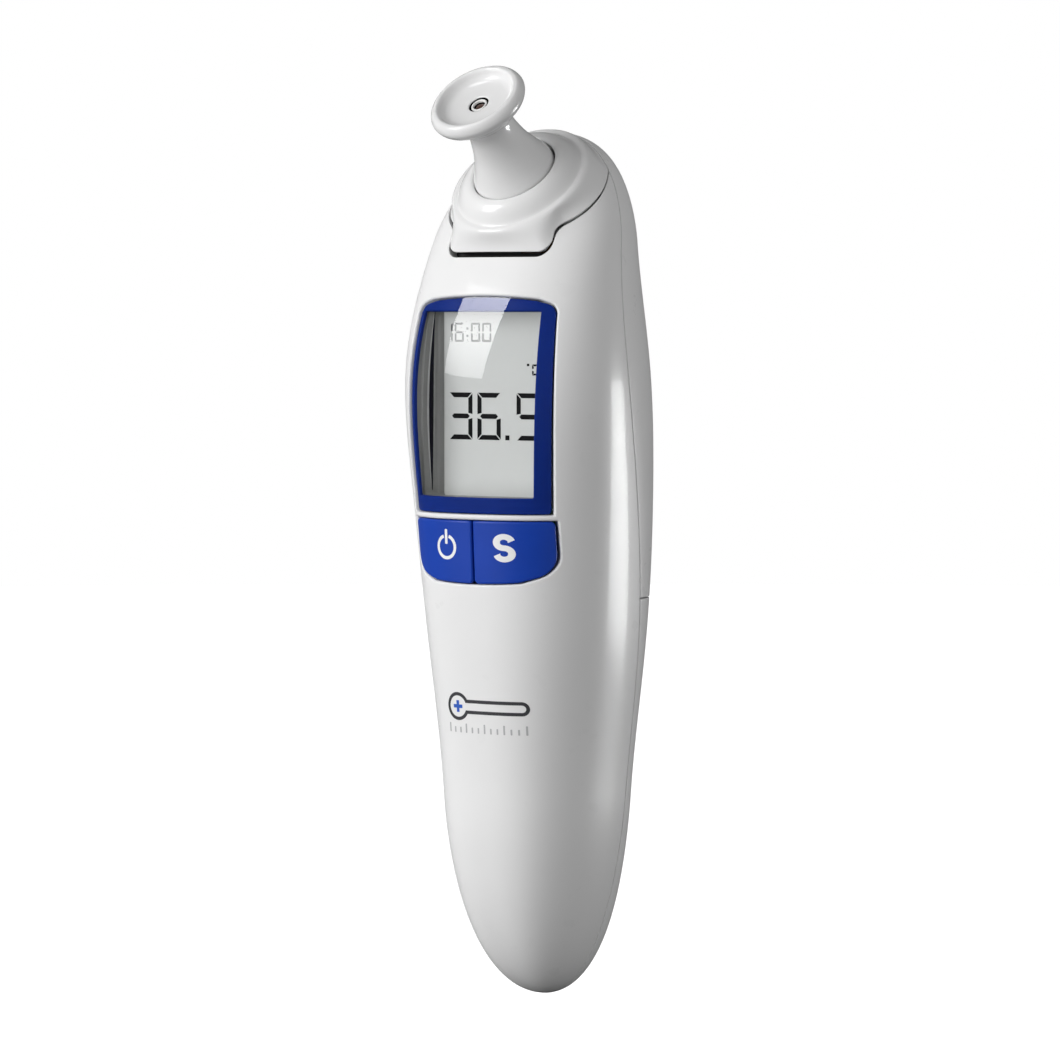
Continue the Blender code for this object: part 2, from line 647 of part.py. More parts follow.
# ---------------------------------------------------------------- keys and board
def make_keys(cut):
    blue = plastic("key_blue", (0.03, 0.09, 0.42), 0.32)
    black = plastic("switch_black", (0.03, 0.03, 0.03), 0.5)
    steel = plastic("switch_steel", (0.6, 0.6, 0.6), 0.3, 1.0)
    plunger_front = BOARD_FRONT_Y - 5.0
    for name, side in (("power", -1), ("scan", 1)):
        key = add_part(name + "_button",
                       outline_mesh(name + "_button", key_outline(0.2), -40, -6), blue)
        other = sorted((-side * 40.0, side * 0.15))
        half = box_mesh("cut_" + name + "_half", (other[0], -60, -20), (other[1], 20, 40))
        boolean(key, cut["skin"], 'INTERSECT')
        boolean(key, cut["key_back"])
        boolean(key, add_cutter("cut_" + name + "_half", half))
        x = side * KEY_STEM_X
        stem = cylinder_mesh("cut_" + name + "_stem", 1.6, -15.4, plunger_front - 0.15,
                             (x, KEY_STEM_Z), 'Y', 16)
        boolean(key, add_cutter("cut_" + name + "_stem", stem), 'UNION')
        set_origin(key, (x, -15.0, KEY_STEM_Z))

        base = box_mesh(name + "_switch", (x - 3, BOARD_FRONT_Y - 3.6, KEY_STEM_Z - 3),
                        (x + 3, BOARD_FRONT_Y - 0.1, KEY_STEM_Z + 3))
        base = add_part(name + "_switch", base, steel)
        well = cylinder_mesh("cut_" + name + "_well", 2.0, BOARD_FRONT_Y - 9, BOARD_FRONT_Y - 2.2,
                             (x, KEY_STEM_Z), 'Y', 16)
        boolean(base, add_cutter("cut_" + name + "_well", well))
        plunger = cylinder_mesh(name + "_plunger", 1.7, plunger_front, BOARD_FRONT_Y - 2.8,
                                (x, KEY_STEM_Z), 'Y', 16)
        plunger = add_part(name + "_plunger", plunger, black)
        set_origin(plunger, (x, BOARD_FRONT_Y - 4.0, KEY_STEM_Z))


def make_board():
    green = plastic("board_green", (0.04, 0.25, 0.12), 0.5)
    black = plastic("chip_black", (0.03, 0.03, 0.03), 0.45)
    back = BOARD_FRONT_Y + BOARD_THICKNESS
    board = box_mesh("main_board", (-BOARD_HALF_WIDTH, BOARD_FRONT_Y, BOARD_BOTTOM),
                     (BOARD_HALF_WIDTH, back, BOARD_TOP))
    add_part("main_board", board, green)
    chip = box_mesh("controller_chip", (-5, back + 0.1, 33), (5, back + 1.5, 43), 0.2)
    add_part("controller_chip", chip, black)
    memory = box_mesh("memory_chip", (-2.6, back + 0.1, 47.5), (2.6, back + 1.4, 51.5), 0.2)
    add_part("memory_chip", memory, black)
    buzzer = cylinder_mesh("buzzer", 6.0, back + 0.1, back + 3.0, (0.0, 23.5), 'Y', 24)
    add_part("buzzer", buzzer, black)

    ribbon = [(BOARD_FRONT_Y + BOARD_THICKNESS + 0.3, 52.5), (-0.4, 55.5), (1.2, 59.0), (2.0, 63.2),
              (2.9, 66.2)]
    bm = bmesh.new()
    rows = [[bm.verts.new((x * MM, y * MM, z * MM)) for x in (-3.0, 3.0)] for y, z in ribbon]
    for low, high in zip(rows, rows[1:]):
        bm.faces.new((low[0], low[1], high[1], high[0]))
    mesh = bpy.data.meshes.new("sensor_ribbon")
    bm.to_mesh(mesh)
    bm.free()
    strip = add_part("sensor_ribbon", mesh, plastic("ribbon_amber", (0.55, 0.30, 0.08), 0.4))
    solid = strip.modifiers.new("thickness", 'SOLIDIFY')
    solid.thickness = 0.3 * MM
    solid.offset = 0.0


# ---------------------------------------------------------------- batteries
def make_battery_bay():
    tray_back = BATTERY_Y + 3.0
    front = TRAY_FRONT_Y + TRAY_PLATE
    grey = plastic("tray_grey", (0.60, 0.61, 0.62), 0.5)
    plate = outline_mesh("battery_tray", tray_outline(), TRAY_FRONT_Y, front)
    tray = add_part("battery_tray", plate, grey)
    for name, low, high in (("lower", TRAY_BOTTOM, TRAY_BOTTOM + 1.0),
                            ("upper", TRAY_TOP - 1.0, TRAY_TOP)):
        wall = box_mesh("cut_tray_" + name, (-TRAY_HALF_WIDTH + 0.7, front - 0.4, low),
                        (TRAY_HALF_WIDTH - 0.7, tray_back, high))
        boolean(tray, add_cutter("cut_tray_" + name, wall), 'UNION')
    steel = plastic("screw_steel", (0.55, 0.55, 0.56), 0.35, 1.0)
    for side, name in ((-1, "left"), (1, "right")):
        hole = cylinder_mesh("cut_tray_hole_" + name, 1.2, -2, 4, (side * SCREW_X, SCREW_Z), 'Y', 16)
        boolean(tray, add_cutter("cut_tray_hole_" + name, hole))
        profile = [(0.0, 1.3), (1.5, 1.2), (1.8, 0.7), (1.8, 0.0), (0.85, 0.0), (0.85, -5.4),
                   (0.0, -6.2)]
        screw = turned_part("tray_screw_" + name, profile, steel, steps=14)
        screw.rotation_euler = (math.radians(-90), 0, 0)
        screw.location = Vector((side * SCREW_X, front + 0.1, SCREW_Z)) * MM

    half = BATTERY_LENGTH / 2
    rim = BATTERY_RADIUS - 0.35
    cell = [(0.0, half), (1.9, half), (1.9, half - 0.8), (rim, half - 0.8),
            (BATTERY_RADIUS, half - 1.1), (BATTERY_RADIUS, -half + 0.3), (rim, -half), (0.0, -half)]
    metal = plastic("contact_nickel", (0.72, 0.72, 0.70), 0.3, 1.0)
    for side, name in ((-1, "left"), (1, "right")):
        colour = plastic("cell_" + name, (0.10, 0.12, 0.14), 0.3, 0.4)
        battery = turned_part("battery_" + name, cell, colour, steps=24)
        battery.location = Vector((side * BATTERY_X, BATTERY_Y, BATTERY_Z)) * MM
        battery.rotation_euler = (0.0, math.pi if side > 0 else 0.0, 0.0)
        wall = TRAY_BOTTOM + 1.0 if side < 0 else TRAY_TOP - 1.0
        nub = (TRAY_TOP - 1.0) if side < 0 else (TRAY_BOTTOM + 1.0)
        make_spring("battery_spring_" + name, side * BATTERY_X, BATTERY_Z - (half + 0.25)
                    if side < 0 else BATTERY_Z + half + 0.25, wall, metal)
        inner = nub + side * GAP
        outer = inner + side * CONTACT_THICKNESS
        plate = box_mesh("contact_plate_" + name,
                         (side * BATTERY_X - 3.6, BATTERY_Y - 4.0, min(inner, outer)),
                         (side * BATTERY_X + 3.6, BATTERY_Y + 3.0, max(inner, outer)))
        plate = add_part("contact_plate_" + name, plate, metal)
        tip = BATTERY_Z - side * (half + 0.2)
        pip = cylinder_mesh("cut_pip_" + name, 2.0, min(tip, inner), max(tip, inner),
                            (side * BATTERY_X, BATTERY_Y), segments=16)
        boolean(plate, add_cutter("cut_pip_" + name, pip), 'UNION')


def tray_outline():
    """Front view of the tray plate: narrow along the cells, with an ear at each screw."""
    half = TRAY_HALF_WIDTH
    ear = SCREW_X + 2.2
    right = [(half - 1.2, TRAY_BOTTOM), (half, TRAY_BOTTOM + 6), (half, SCREW_Z - 4.5),
             (ear, SCREW_Z - 2.5), (ear, SCREW_Z + 2.5), (half, SCREW_Z + 4.5), (half, TRAY_TOP)]
    return right + [(-x, z) for x, z in reversed(right)]


def make_spring(name, x, start, end, material, turns=3.0, points=9):
    """Conical coil between the cell's end and the tray's wall."""
    wire = 0.3
    direction = 1 if end > start else -1
    span = abs(end - start) - 2 * wire - 0.4
    curve = bpy.data.curves.new(name, 'CURVE')
    curve.dimensions = '3D'
    curve.bevel_depth = wire * MM
    curve.bevel_resolution = 1
    curve.use_fill_caps = True
    line = curve.splines.new('POLY')
    count = int(turns * points)
    line.points.add(count)
    for i, point in enumerate(line.points):
        part = i / count
        turn = 2 * math.pi * turns * part
        radius = 1.9 + 1.5 * part
        z = start + direction * (wire + 0.1 + span * part)
        point.co = ((x + radius * math.cos(turn)) * MM, (BATTERY_Y + radius * math.sin(turn)) * MM,
                    z * MM, 1.0)
    shape = bpy.data.objects.new(name, curve)
    bpy.context.scene.collection.objects.link(shape)
    bpy.context.view_layer.update()
    evaluated = shape.evaluated_get(bpy.context.evaluated_depsgraph_get())
    mesh = bpy.data.meshes.new_from_object(evaluated)
    bm = bmesh.new()
    bm.from_mesh(mesh)
    bmesh.ops.remove_doubles(bm, verts=bm.verts, dist=0.000001)
    bmesh.ops.recalc_face_normals(bm, faces=bm.faces)
    bm.to_mesh(mesh)
    bm.free()
    bpy.data.objects.remove(shape, do_unlink=True)
    add_part(name, mesh, material)


# ---------------------------------------------------------------- assembly
clear_scene()
PARTS = make_collection("ear_thermometer")
CUTTERS = make_collection("cutters")
PROBE_MATRIX = (Matrix.Translation(PROBE_BASE)
                @ Matrix.Rotation(math.radians(PROBE_TILT), 4, 'X'))
probe_axis = bpy.data.objects.new("probe_axis", None)
PARTS.objects.link(probe_axis)
probe_axis.location = Vector(PROBE_BASE) * MM
probe_axis.rotation_euler = (math.radians(PROBE_TILT), 0.0, 0.0)

cuts = make_body_cutters()
cuts["skin_inset"] = add_cutter("cut_skin_inset", body_mesh("cut_skin_inset", 1.0))
make_shells(cuts)
make_cap(cuts, probe_axis)
make_probe(cuts, probe_axis)
make_display(cuts)
make_keys(cuts)
make_board()
make_battery_bay()
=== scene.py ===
"""Looks of the digital ear thermometer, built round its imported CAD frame.

The outer surface is one envelope: sections with a front and a rear half, stacked along the
handle. Every shell, key, lens and bezel is a patch of that envelope, cut to its outline, with
rounded edges and a real wall. The cap is swept from its parting line up to the collar, and the
cone is turned. Lengths are in millimetres and the meshes are in metres.
"""
import math

import bpy
import numpy as np
from mathutils import Matrix, Vector
from mathutils.geometry import delaunay_2d_cdt


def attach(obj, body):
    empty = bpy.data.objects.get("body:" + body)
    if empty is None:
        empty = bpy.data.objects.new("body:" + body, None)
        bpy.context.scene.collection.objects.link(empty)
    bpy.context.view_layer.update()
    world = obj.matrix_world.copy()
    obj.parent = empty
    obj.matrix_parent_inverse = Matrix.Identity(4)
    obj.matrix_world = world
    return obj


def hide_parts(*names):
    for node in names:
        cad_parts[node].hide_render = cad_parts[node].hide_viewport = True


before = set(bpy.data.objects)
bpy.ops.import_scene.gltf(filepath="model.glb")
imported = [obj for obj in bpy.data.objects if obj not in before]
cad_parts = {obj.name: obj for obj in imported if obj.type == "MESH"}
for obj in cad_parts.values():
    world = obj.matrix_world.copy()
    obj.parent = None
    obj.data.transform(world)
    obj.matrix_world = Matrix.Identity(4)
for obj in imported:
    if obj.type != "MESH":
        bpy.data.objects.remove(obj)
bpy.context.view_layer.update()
MM = 0.001
HALF_GAP = 0.15          # half of the CAD's gap between neighbours

# ---------------------------------------------------------------- envelope
# height, half width, y of the widest line, depth in front of it, depth behind it
STATIONS = np.array([
    (-60.0, 13.5, 5.5, 20.1, 13.0),
    (-40.0, 13.7, 6.4, 20.3, 8.5),
    (-22.0, 14.8, 6.9, 21.1, 6.9),
    (0.0, 17.2, 6.5, 22.5, 9.2),
    (25.0, 19.1, 2.7, 20.3, 15.4),
    (45.0, 19.7, -1.2, 15.8, 18.8),
    (65.0, 17.4, 0.6, 10.2, 14.5),
    (85.0, 16.5, 8.5, 3.4, 7.5),
])
TIP_Z = -60.0
TIP_LENGTH = 34.0
CROWN_Z = 65.0
CROWN_LENGTH = 18.3
TOP_Z = CROWN_Z + CROWN_LENGTH
FRONT, REAR = -1, 1
POWER = {FRONT: 2.55, REAR: 2.4}
WALL = 2.0
REAR_FLAT_Y = 17.7
FLAT_SOFTNESS = 0.12      # how gently the back runs into its flat
COVER_TOP = 6.6

# ---------------------------------------------------------------- shells
EDGE = 0.16              # rounding of the shells' edges
HOLE_EDGE = 0.4          # rounding of the openings for the display and the keys
SEAM = 0.09              # half of the gap that shows between the shells
LIP_GAP = 0.75           # gap under the cap's finger lip
LIP_SIDE_GAP = 0.08
SEAM_MARGIN = SEAM + EDGE

# ---------------------------------------------------------------- cap
CAP_SLOPE = math.tan(math.radians(38.7))
CAP_PLANE_Z = 73.2
LIP_Z = 63.3
LIP_HALF_WIDTH = 10.0
LIP_CORNER = 2.2
LIP_FILLET = 1.5         # where the lip's side runs into the parting plane
LIP_LEAN = 0.5
FOOT_PULL = 2.3          # reach of the direction in which the cap's skin starts
COLLAR_PULL = 1.6        # reach of its level end at the collar
CAP_WALL = 1.6
PROBE_BASE = Vector((0.0, -4.6, 76.5))
PROBE_TURN = Matrix.Rotation(math.radians(45.0), 3, 'X')
CAP_CLEARANCE = 0.06     # from the shell's parting plane up to the cap's edge
COLLAR_FOOT = (11.3, -1.8)
CONE_TOP = 16.6
CONE_RIM = 8.15

# ---------------------------------------------------------------- display and keys
LENS_HALF_WIDTH = 13.7
LENS_SHIFT = -0.4
LENS_BOTTOM = 20.9
LENS_TOP = 56.3
WINDOW = (-13.0, 23.6, 10.7, 53.9)      # left, bottom, right, top
LENS_THICKNESS = 0.45
LENS_GAP = 0.12
LENS_IOR = 1.55
LENS_SHINE = 0.03        # its coating keeps reflections this low at a glancing view too
BEZEL_SINK = 0.5
BEZEL_THICKNESS = 0.6
BEZEL_GAP = 0.1
WELL_SINK = BEZEL_SINK + 0.55
LCD_FRONT_Y = -9.0
LCD_COLOUR = (197, 198, 195)
WELL_FOOT_Y = LCD_FRONT_Y - 0.02
WELL_MARGIN = 0.1        # the well's opening is this much wider than the window
WELL_RIGHT = WINDOW[2] + WELL_MARGIN
WELL_STEPS = ((0.0, -13.2), (0.22, -12.8), (0.28, -12.45), (0.8, -11.55), (0.86, -11.2),
              (1.0, -10.9))              # way down and x of the well's left wall
WELL_OUTSIDE = -13.6
SLIT_PART = 0.58
KEY_TOP = 20.0
KEY_BOTTOM = 9.5
KEY_THICKNESS = 2.2
KEY_GAP = 0.12

# ---------------------------------------------------------------- mesh fineness
ARC_MM = 16.0            # a turn of one radian round the section counts as this length
TIP_ARC_MM = 24.0
CROWN_ARC_MM = 18.3
PITCH = 1.0
ROUND_STEPS = 5
BISECTIONS = 32
PRINT_HEIGHT = 0.02      # printed marks stand this far out

# ---------------------------------------------------------------- camera and light
CAMERA_TURN = math.radians(33.0)
CAMERA_RISE = math.radians(3.1)
CAMERA_DISTANCE = 702.3
CAMERA_LENS = 142.64
AIM_RIGHT = -2.96
AIM_UP = 77.25
AIM_ORIGIN = Vector((0.0, 5.5, TIP_Z))
FLOOR_Z = -260.0
WORLD_BAND = ((0.22, 0.0), (0.52, 0.56), (0.62, 0.54), (0.95, 0.1))    # height and level
WORLD_MIRRORED = 0.25    # share of it seen in reflections


def spline_bends(knots, values):
    """Second derivatives of the stations' cubic spline, one cubic over each end's two spans."""
    count = len(knots)
    step = np.diff(knots)
    rise = np.diff(values) / step
    system = np.zeros((count, count))
    right = np.zeros(count)
    for i in range(1, count - 1):
        system[i, i - 1:i + 2] = step[i - 1], 2 * (step[i - 1] + step[i]), step[i]
        right[i] = 6 * (rise[i] - rise[i - 1])
    system[0, :3] = step[1], -(step[0] + step[1]), step[0]
    system[-1, -3:] = step[-1], -(step[-2] + step[-1]), step[-2]
    return np.linalg.solve(system, right)


BENDS = [spline_bends(STATIONS[:, 0], STATIONS[:, i]) for i in range(5)]


def spline(heights, column):
    """Value of one of the stations' columns at any height."""
    knots, values, bend = STATIONS[:, 0], STATIONS[:, column], BENDS[column]
    k = np.clip(np.searchsorted(knots, heights) - 1, 0, len(knots) - 2)
    below = heights - knots[k]
    above = knots[k + 1] - heights
    h = knots[k + 1] - knots[k]
    curved = (bend[k] * above ** 3 + bend[k + 1] * below ** 3) / (6 * h)
    straight = (values[k] / h - bend[k] * h / 6) * above
    return curved + straight + (values[k + 1] / h - bend[k + 1] * h / 6) * below


def section(z, side):
    """Half width, y of the widest line, and depth on one side of it at height z."""
    z = np.asarray(z, float)
    column = 3 if side == FRONT else 4
    width, seam, depth = (spline(z, i) for i in (1, 2, column))
    butt = np.sqrt(1 - (1 - np.clip((z - TIP_Z) / TIP_LENGTH, 0, 1)) ** 2)
    climb = np.clip((z - CROWN_Z) / CROWN_LENGTH, 0, 1)
    width = width * butt * np.sqrt(1 - climb ** 2)
    return width, seam, depth * butt * np.sqrt(1 - climb ** 5)


def envelope(side, turn, z, sink=0.0):
    """Points and outward normals of the envelope at an angle round the section, from +X."""
    nudge = 1e-4
    z = np.clip(np.asarray(z, float), TIP_Z + 4 * nudge, TOP_Z - 4 * nudge)
    power = POWER[side]
    width, seam, depth = section(z, side)
    cos, sin = np.cos(turn), np.sin(turn)
    reach = (np.abs(cos) ** power + np.abs(sin) ** power) ** (-1 / power)
    a, b = reach * cos, reach * np.abs(sin)
    points = np.stack([width * a, seam + side * depth * b, z], -1)
    slopes = [(up - down) / (2 * nudge) for up, down in
              zip(section(z + nudge, side), section(z - nudge, side))]
    gx = np.abs(a) ** (power - 1) * np.sign(a) / width
    gy = side * b ** (power - 1) / depth
    gz = -np.abs(a) ** power * slopes[0] / width - b ** power * slopes[2] / depth - gy * slopes[1]
    if side == REAR:
        over = (points[..., 1] - REAR_FLAT_Y) / FLAT_SOFTNESS
        keep = 1 / (1 + np.exp(np.clip(over, -40, 40)))
        points[..., 1] -= FLAT_SOFTNESS * np.logaddexp(0, over)
        gx, gz = gx * keep, gz * keep
    normals = np.stack([gx, gy, gz], -1)
    normals /= np.linalg.norm(normals, axis=-1, keepdims=True)
    return points - normals * sink, normals


def turn_at(x, z):
    """Angle round the section of the point seen from the front at x and z."""
    width = section(z, FRONT)[0]
    power = POWER[FRONT]
    across = np.clip(np.asarray(x, float) / width, -0.99999, 0.99999)
    return np.arctan2((1 - np.abs(across) ** power) ** (1 / power), across)


# Domain of a patch: u runs round the section and v along the handle, both close to millimetres.
V_BODY = TIP_ARC_MM * math.pi / 2
V_CROWN = V_BODY + CROWN_Z - TIP_Z - TIP_LENGTH


def height_of(v):
    v = np.asarray(v, float)
    tip = TIP_Z + TIP_LENGTH * (1 - np.cos(np.clip(v, 0, V_BODY) / TIP_ARC_MM))
    crown = np.clip((v - V_CROWN) / CROWN_ARC_MM, 0, math.pi / 2)
    body = np.clip(v, V_BODY, V_CROWN) - V_BODY
    return tip + body + CROWN_LENGTH * np.sin(crown)


def v_of(z):
    z = np.asarray(z, float)
    tip = TIP_ARC_MM * np.arccos(1 - np.clip((z - TIP_Z) / TIP_LENGTH, 0, 1))
    body = np.clip(z, TIP_Z + TIP_LENGTH, CROWN_Z) - TIP_Z - TIP_LENGTH
    crown = CROWN_ARC_MM * np.arcsin(np.clip((z - CROWN_Z) / CROWN_LENGTH, 0, 1))
    return tip + body + crown


def domain(turns, heights):
    return np.stack([np.asarray(turns) * ARC_MM, v_of(heights)], -1)


def seen_outline(points):
    """Domain points on the front of an outline given in front view, as (x, z)."""
    x, z = np.array(points, float).T
    return domain(turn_at(x, z), z)


def bisect(test, low, high):
    """Where test turns from true to false between low and high, which may be arrays."""
    for _ in range(BISECTIONS):
        middle = (low + high) / 2
        true = test(middle)
        low, high = np.where(true, middle, low), np.where(true, high, middle)
    return low


def depth_at(side, turn, z):
    """Distance from the plane of the widest line."""
    return np.abs(envelope(side, turn, z)[0][..., 1] - section(z, side)[1])


def seam_edge(side, margin, low, high):
    """Points (turn, z) at +X that keep a margin to the seam, from low to high.

    A height of None starts or ends on the middle plane at that pole.
    """
    bottom, top = [], []
    round_end = np.linspace(math.pi / 2, 0.35, 12)
    if low is None:
        z = bisect(lambda s: depth_at(side, round_end, s) < margin, TIP_Z + 0 * round_end,
                   TIP_Z + TIP_LENGTH)
        bottom = list(zip(round_end, z))
        low = bottom.pop()[1]
    if high is None:
        z = bisect(lambda s: depth_at(side, round_end, s) > margin, CROWN_Z + 0 * round_end, TOP_Z)
        top = list(zip(round_end, z))[::-1]
        high = top.pop(0)[1]
    steps = int((v_of(high) - v_of(low)) / (0.8 * PITCH)) + 1
    z = height_of(np.linspace(v_of(low), v_of(high), steps + 1))
    turns = bisect(lambda t: depth_at(side, t, z) < margin, 0 * z, math.pi / 2)
    return bottom + list(zip(turns, z)) + top


def mirrored_loop(right):
    """Closed counterclockwise loop in the domain from (turn, z) points of the +X half."""
    left = [(math.pi - turn, z) for turn, z in right]
    loop = left + right[::-1]
    turns, heights = np.array(loop).T
    points = domain(turns, heights)
    keep = np.linalg.norm(points - np.roll(points, 1, 0), axis=1) > 1e-4
    return points[keep]


# ---------------------------------------------------------------- meshes
def make_object(name, verts, faces, body, materials=(), face_materials=None,
                normals=None):
    """Object from points in millimetres that rides on a CAD body."""
    mesh = bpy.data.meshes.new(name)
    mesh.from_pydata([tuple(v) for v in np.asarray(verts) * MM], [], faces)
    mesh.shade_smooth()
    for material in materials:
        mesh.materials.append(material)
    if face_materials is not None:
        mesh.polygons.foreach_set("material_index", face_materials)
    mesh.validate()
    if normals is not None:
        lengths = np.linalg.norm(normals, axis=1, keepdims=True)
        mesh.normals_split_custom_set_from_vertices((normals / np.maximum(lengths, 1e-9)).tolist())
    obj = bpy.data.objects.new(name, mesh)
    bpy.context.scene.collection.objects.link(obj)
    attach(obj, body)
    return obj


def inside(points, loop):
    """Which points lie inside a closed loop."""
    x, y = points[:, 0][:, None], points[:, 1][:, None]
    a, b = loop, np.roll(loop, -1, 0)
    crosses = (a[:, 1] > y) != (b[:, 1] > y)
    rise = np.where(np.abs(b[:, 1] - a[:, 1]) < 1e-12, 1e-12, b[:, 1] - a[:, 1])
    at = a[:, 0] + (y - a[:, 1]) / rise * (b[:, 0] - a[:, 0])
    return (np.sum(crosses & (x < at), axis=1) % 2) == 1


def signed_area(loop):
    after = np.roll(loop, -1, 0)
    return 0.5 * np.sum(loop[:, 0] * after[:, 1] - after[:, 0] * loop[:, 1])


def densify(loop, spacing):
    """Split the long sides of a closed loop."""
    out = []
    for a, b in zip(loop, np.roll(loop, -1, 0)):
        count = max(1, int(math.ceil(np.linalg.norm(b - a) / spacing)))
        out += [a + (b - a) * i / count for i in range(count)]
    return np.array(out)


def triangulate(outer, holes, pitch):
    """Grid of points inside the loops, joined to them by Delaunay triangles."""
    loops = [outer] + list(holes)
    points = [np.concatenate(loops)]
    low, high = outer.min(0), outer.max(0)
    rows = np.arange(low[1] + pitch / 2, high[1], pitch * 0.866)
    grid = np.array([(u + (k % 2) * pitch / 2, v) for k, v in enumerate(rows)
                     for u in np.arange(low[0] + pitch / 4, high[0], pitch)])
    grid = grid.reshape(-1, 2)
    if len(grid):
        keep = inside(grid, outer)
        for hole in holes:
            keep &= ~inside(grid, hole)
        grid = grid[keep]
        near = np.full(len(grid), np.inf)
        for point in points[0]:
            near = np.minimum(near, np.linalg.norm(grid - point, axis=1))
        points.append(grid[near > 0.5 * pitch])
    points = np.concatenate(points)
    edges, start = [], 0
    for loop in loops:
        count = len(loop)
        edges += [(start + i, start + (i + 1) % count) for i in range(count)]
        start += count
    result = delaunay_2d_cdt([Vector(p) for p in points], edges, [], 0, 1e-7, True)
    made = np.array([tuple(v) for v in result[0]])
    index = {}
    for new, old in enumerate(result[3]):
        for k in old:
            index[k] = new
    faces = np.array(result[2])
    centres = made[faces].mean(1)
    keep = inside(centres, outer)
    for hole in holes:
        keep &= ~inside(centres, hole)
    faces = faces[keep]
    a, b, c = (made[faces[:, i]] for i in range(3))
    area = (b - a)[:, 0] * (c - a)[:, 1] - (b - a)[:, 1] * (c - a)[:, 0]
    faces[area < 0] = faces[area < 0][:, ::-1]
    at, found = 0, []
    for loop in loops:
        found.append([index[at + i] for i in range(len(loop))])
        at += len(loop)
    return made, faces, found


def edge_directions(points, normals):
    """Unit vectors in the surface that point to the left of a closed loop, mitred at corners."""
    before = points - np.roll(points, 1, 0)
    after = np.roll(points, -1, 0) - points
    sides = []
    for step in (before, after):
        side = np.cross(normals, step)
        sides.append(side / np.maximum(np.linalg.norm(side, axis=1, keepdims=True), 1e-9))
    dot = np.sum(sides[0] * sides[1], axis=1, keepdims=True)
    return (sides[0] + sides[1]) / np.maximum(1 + dot, 0.6)


def patch_solid(side, outer, holes=(), thickness=WALL, sink=0.0, radius=0.25, pitch=PITCH,
                hole_radius=None):
    """Solid patch of the envelope inside a loop, with rounded edges at each of its loops.

    Loops are the flat part's border: the rounding adds its radius outside them. Gives the
    points, their normals, the faces, and 0 or 1 for each outer or inner face.
    """
    outer = densify(outer, 0.75 * pitch)
    if signed_area(outer) < 0:
        outer = outer[::-1]
    holes = [densify(h, 0.75 * pitch) for h in holes]
    holes = [h[::-1] if signed_area(h) > 0 else h for h in holes]
    flat, faces, loops = triangulate(outer, holes, pitch)
    points, normals = envelope(side, flat[:, 0] / ARC_MM, height_of(flat[:, 1]), sink)
    flip = side == FRONT
    count = len(points)
    verts = [points, points - normals * thickness]
    shading = [normals, -normals]
    triangles = faces[:, ::-1] if flip else faces
    polygons = [tuple(t) for t in triangles] + [tuple(t[::-1] + count) for t in triangles]
    kinds = [0] * len(faces) + [1] * len(faces)
    at = 2 * count
    outer_radius = radius
    for n, loop in enumerate(loops):
        radius = hole_radius if n and hole_radius else outer_radius
        loop = np.array(loop)
        border, up = points[loop], normals[loop]
        inward = edge_directions(border, up) * (-1 if flip else 1)
        rings = [loop]
        for k in range(1, ROUND_STEPS + 1):
            angle = math.pi / 2 * k / ROUND_STEPS
            verts.append(border - inward * radius * math.sin(angle)
                         - up * radius * (1 - math.cos(angle)))
            shading.append(up * math.cos(angle) - inward * math.sin(angle))
            rings.append(np.arange(at, at + len(loop)))
            at += len(loop)
        verts.append(border - inward * radius - up * (thickness - 0.2 * radius))
        shading.append(-inward - 0.3 * up)
        rings.append(np.arange(at, at + len(loop)))
        at += len(loop)
        rings.append(loop + count)
        for k, (a, b) in enumerate(zip(rings, rings[1:])):
            for i in range(len(loop)):
                j = (i + 1) % len(loop)
                quad = (a[i], b[i], b[j], a[j])
                polygons.append(quad[::-1] if flip else quad)
                # walls below the rounding are kind 1, drawn in the second material, a dark painted
                # shade
                kinds.append(0 if k <= ROUND_STEPS else 1)
    polygons = [tuple(int(i) for i in p) for p in polygons]
    return np.concatenate(verts), np.concatenate(shading), polygons, kinds


def patch(name, side, outer, body, slot, materials, holes=(), **shape):
    """One object from a solid patch, its inner faces in the second material if there is one."""
    verts, shading, polygons, kinds = patch_solid(side, outer, holes, **shape)
    if len(materials) < 2:
        kinds = [0] * len(kinds)
    return make_object(name, verts, polygons, body, materials, kinds, shading)


def printed(name, shapes, body, material, pitch):
    """Thin printed shapes on the envelope; each is a list of loops seen from the front."""
    verts, shading, polygons = [], [], []
    start = 0
    for outer, *holes in shapes:
        solid = patch_solid(FRONT, seen_outline(outer), [seen_outline(h) for h in holes],
                            thickness=0.1, sink=-PRINT_HEIGHT, radius=0.02, pitch=pitch)
        verts.append(solid[0])
        shading.append(solid[1])
        polygons += [tuple(i + start for i in p) for p in solid[2]]
        start += len(solid[0])
    make_object(name, np.concatenate(verts), polygons, body, [material],
                normals=np.concatenate(shading))


def prisms(name, outlines, front, back, body, material):
    """Flat convex outlines in (x, z), each made solid from one y to another."""
    verts, faces = [], []
    for outline in outlines:
        start, count = len(verts), len(outline)
        turning = signed_area(np.array(outline, float))
        outline = outline if turning > 0 else outline[::-1]
        verts += [(x, front, z) for x, z in outline] + [(x, back, z) for x, z in outline]
        faces.append(tuple(range(start, start + count)))
        faces.append(tuple(range(start + 2 * count - 1, start + count - 1, -1)))
        for i in range(count):
            j = (i + 1) % count
            faces.append((start + j, start + i, start + count + i, start + count + j))
    obj = make_object(name, verts, faces, body, [material])
    obj.data.shade_flat()


# ---------------------------------------------------------------- outlines in front view
def arc(cx, cy, radius, start, end, steps=12):
    turns = np.radians(np.linspace(start, end, steps + 1))
    return [(cx + radius * math.cos(t), cy + radius * math.sin(t)) for t in turns]


def mirrored(right):
    """Closed outline from its right half, which runs upwards and off the middle plane."""
    return right + [(-x, z) for x, z in reversed(right) if x > 1e-6]


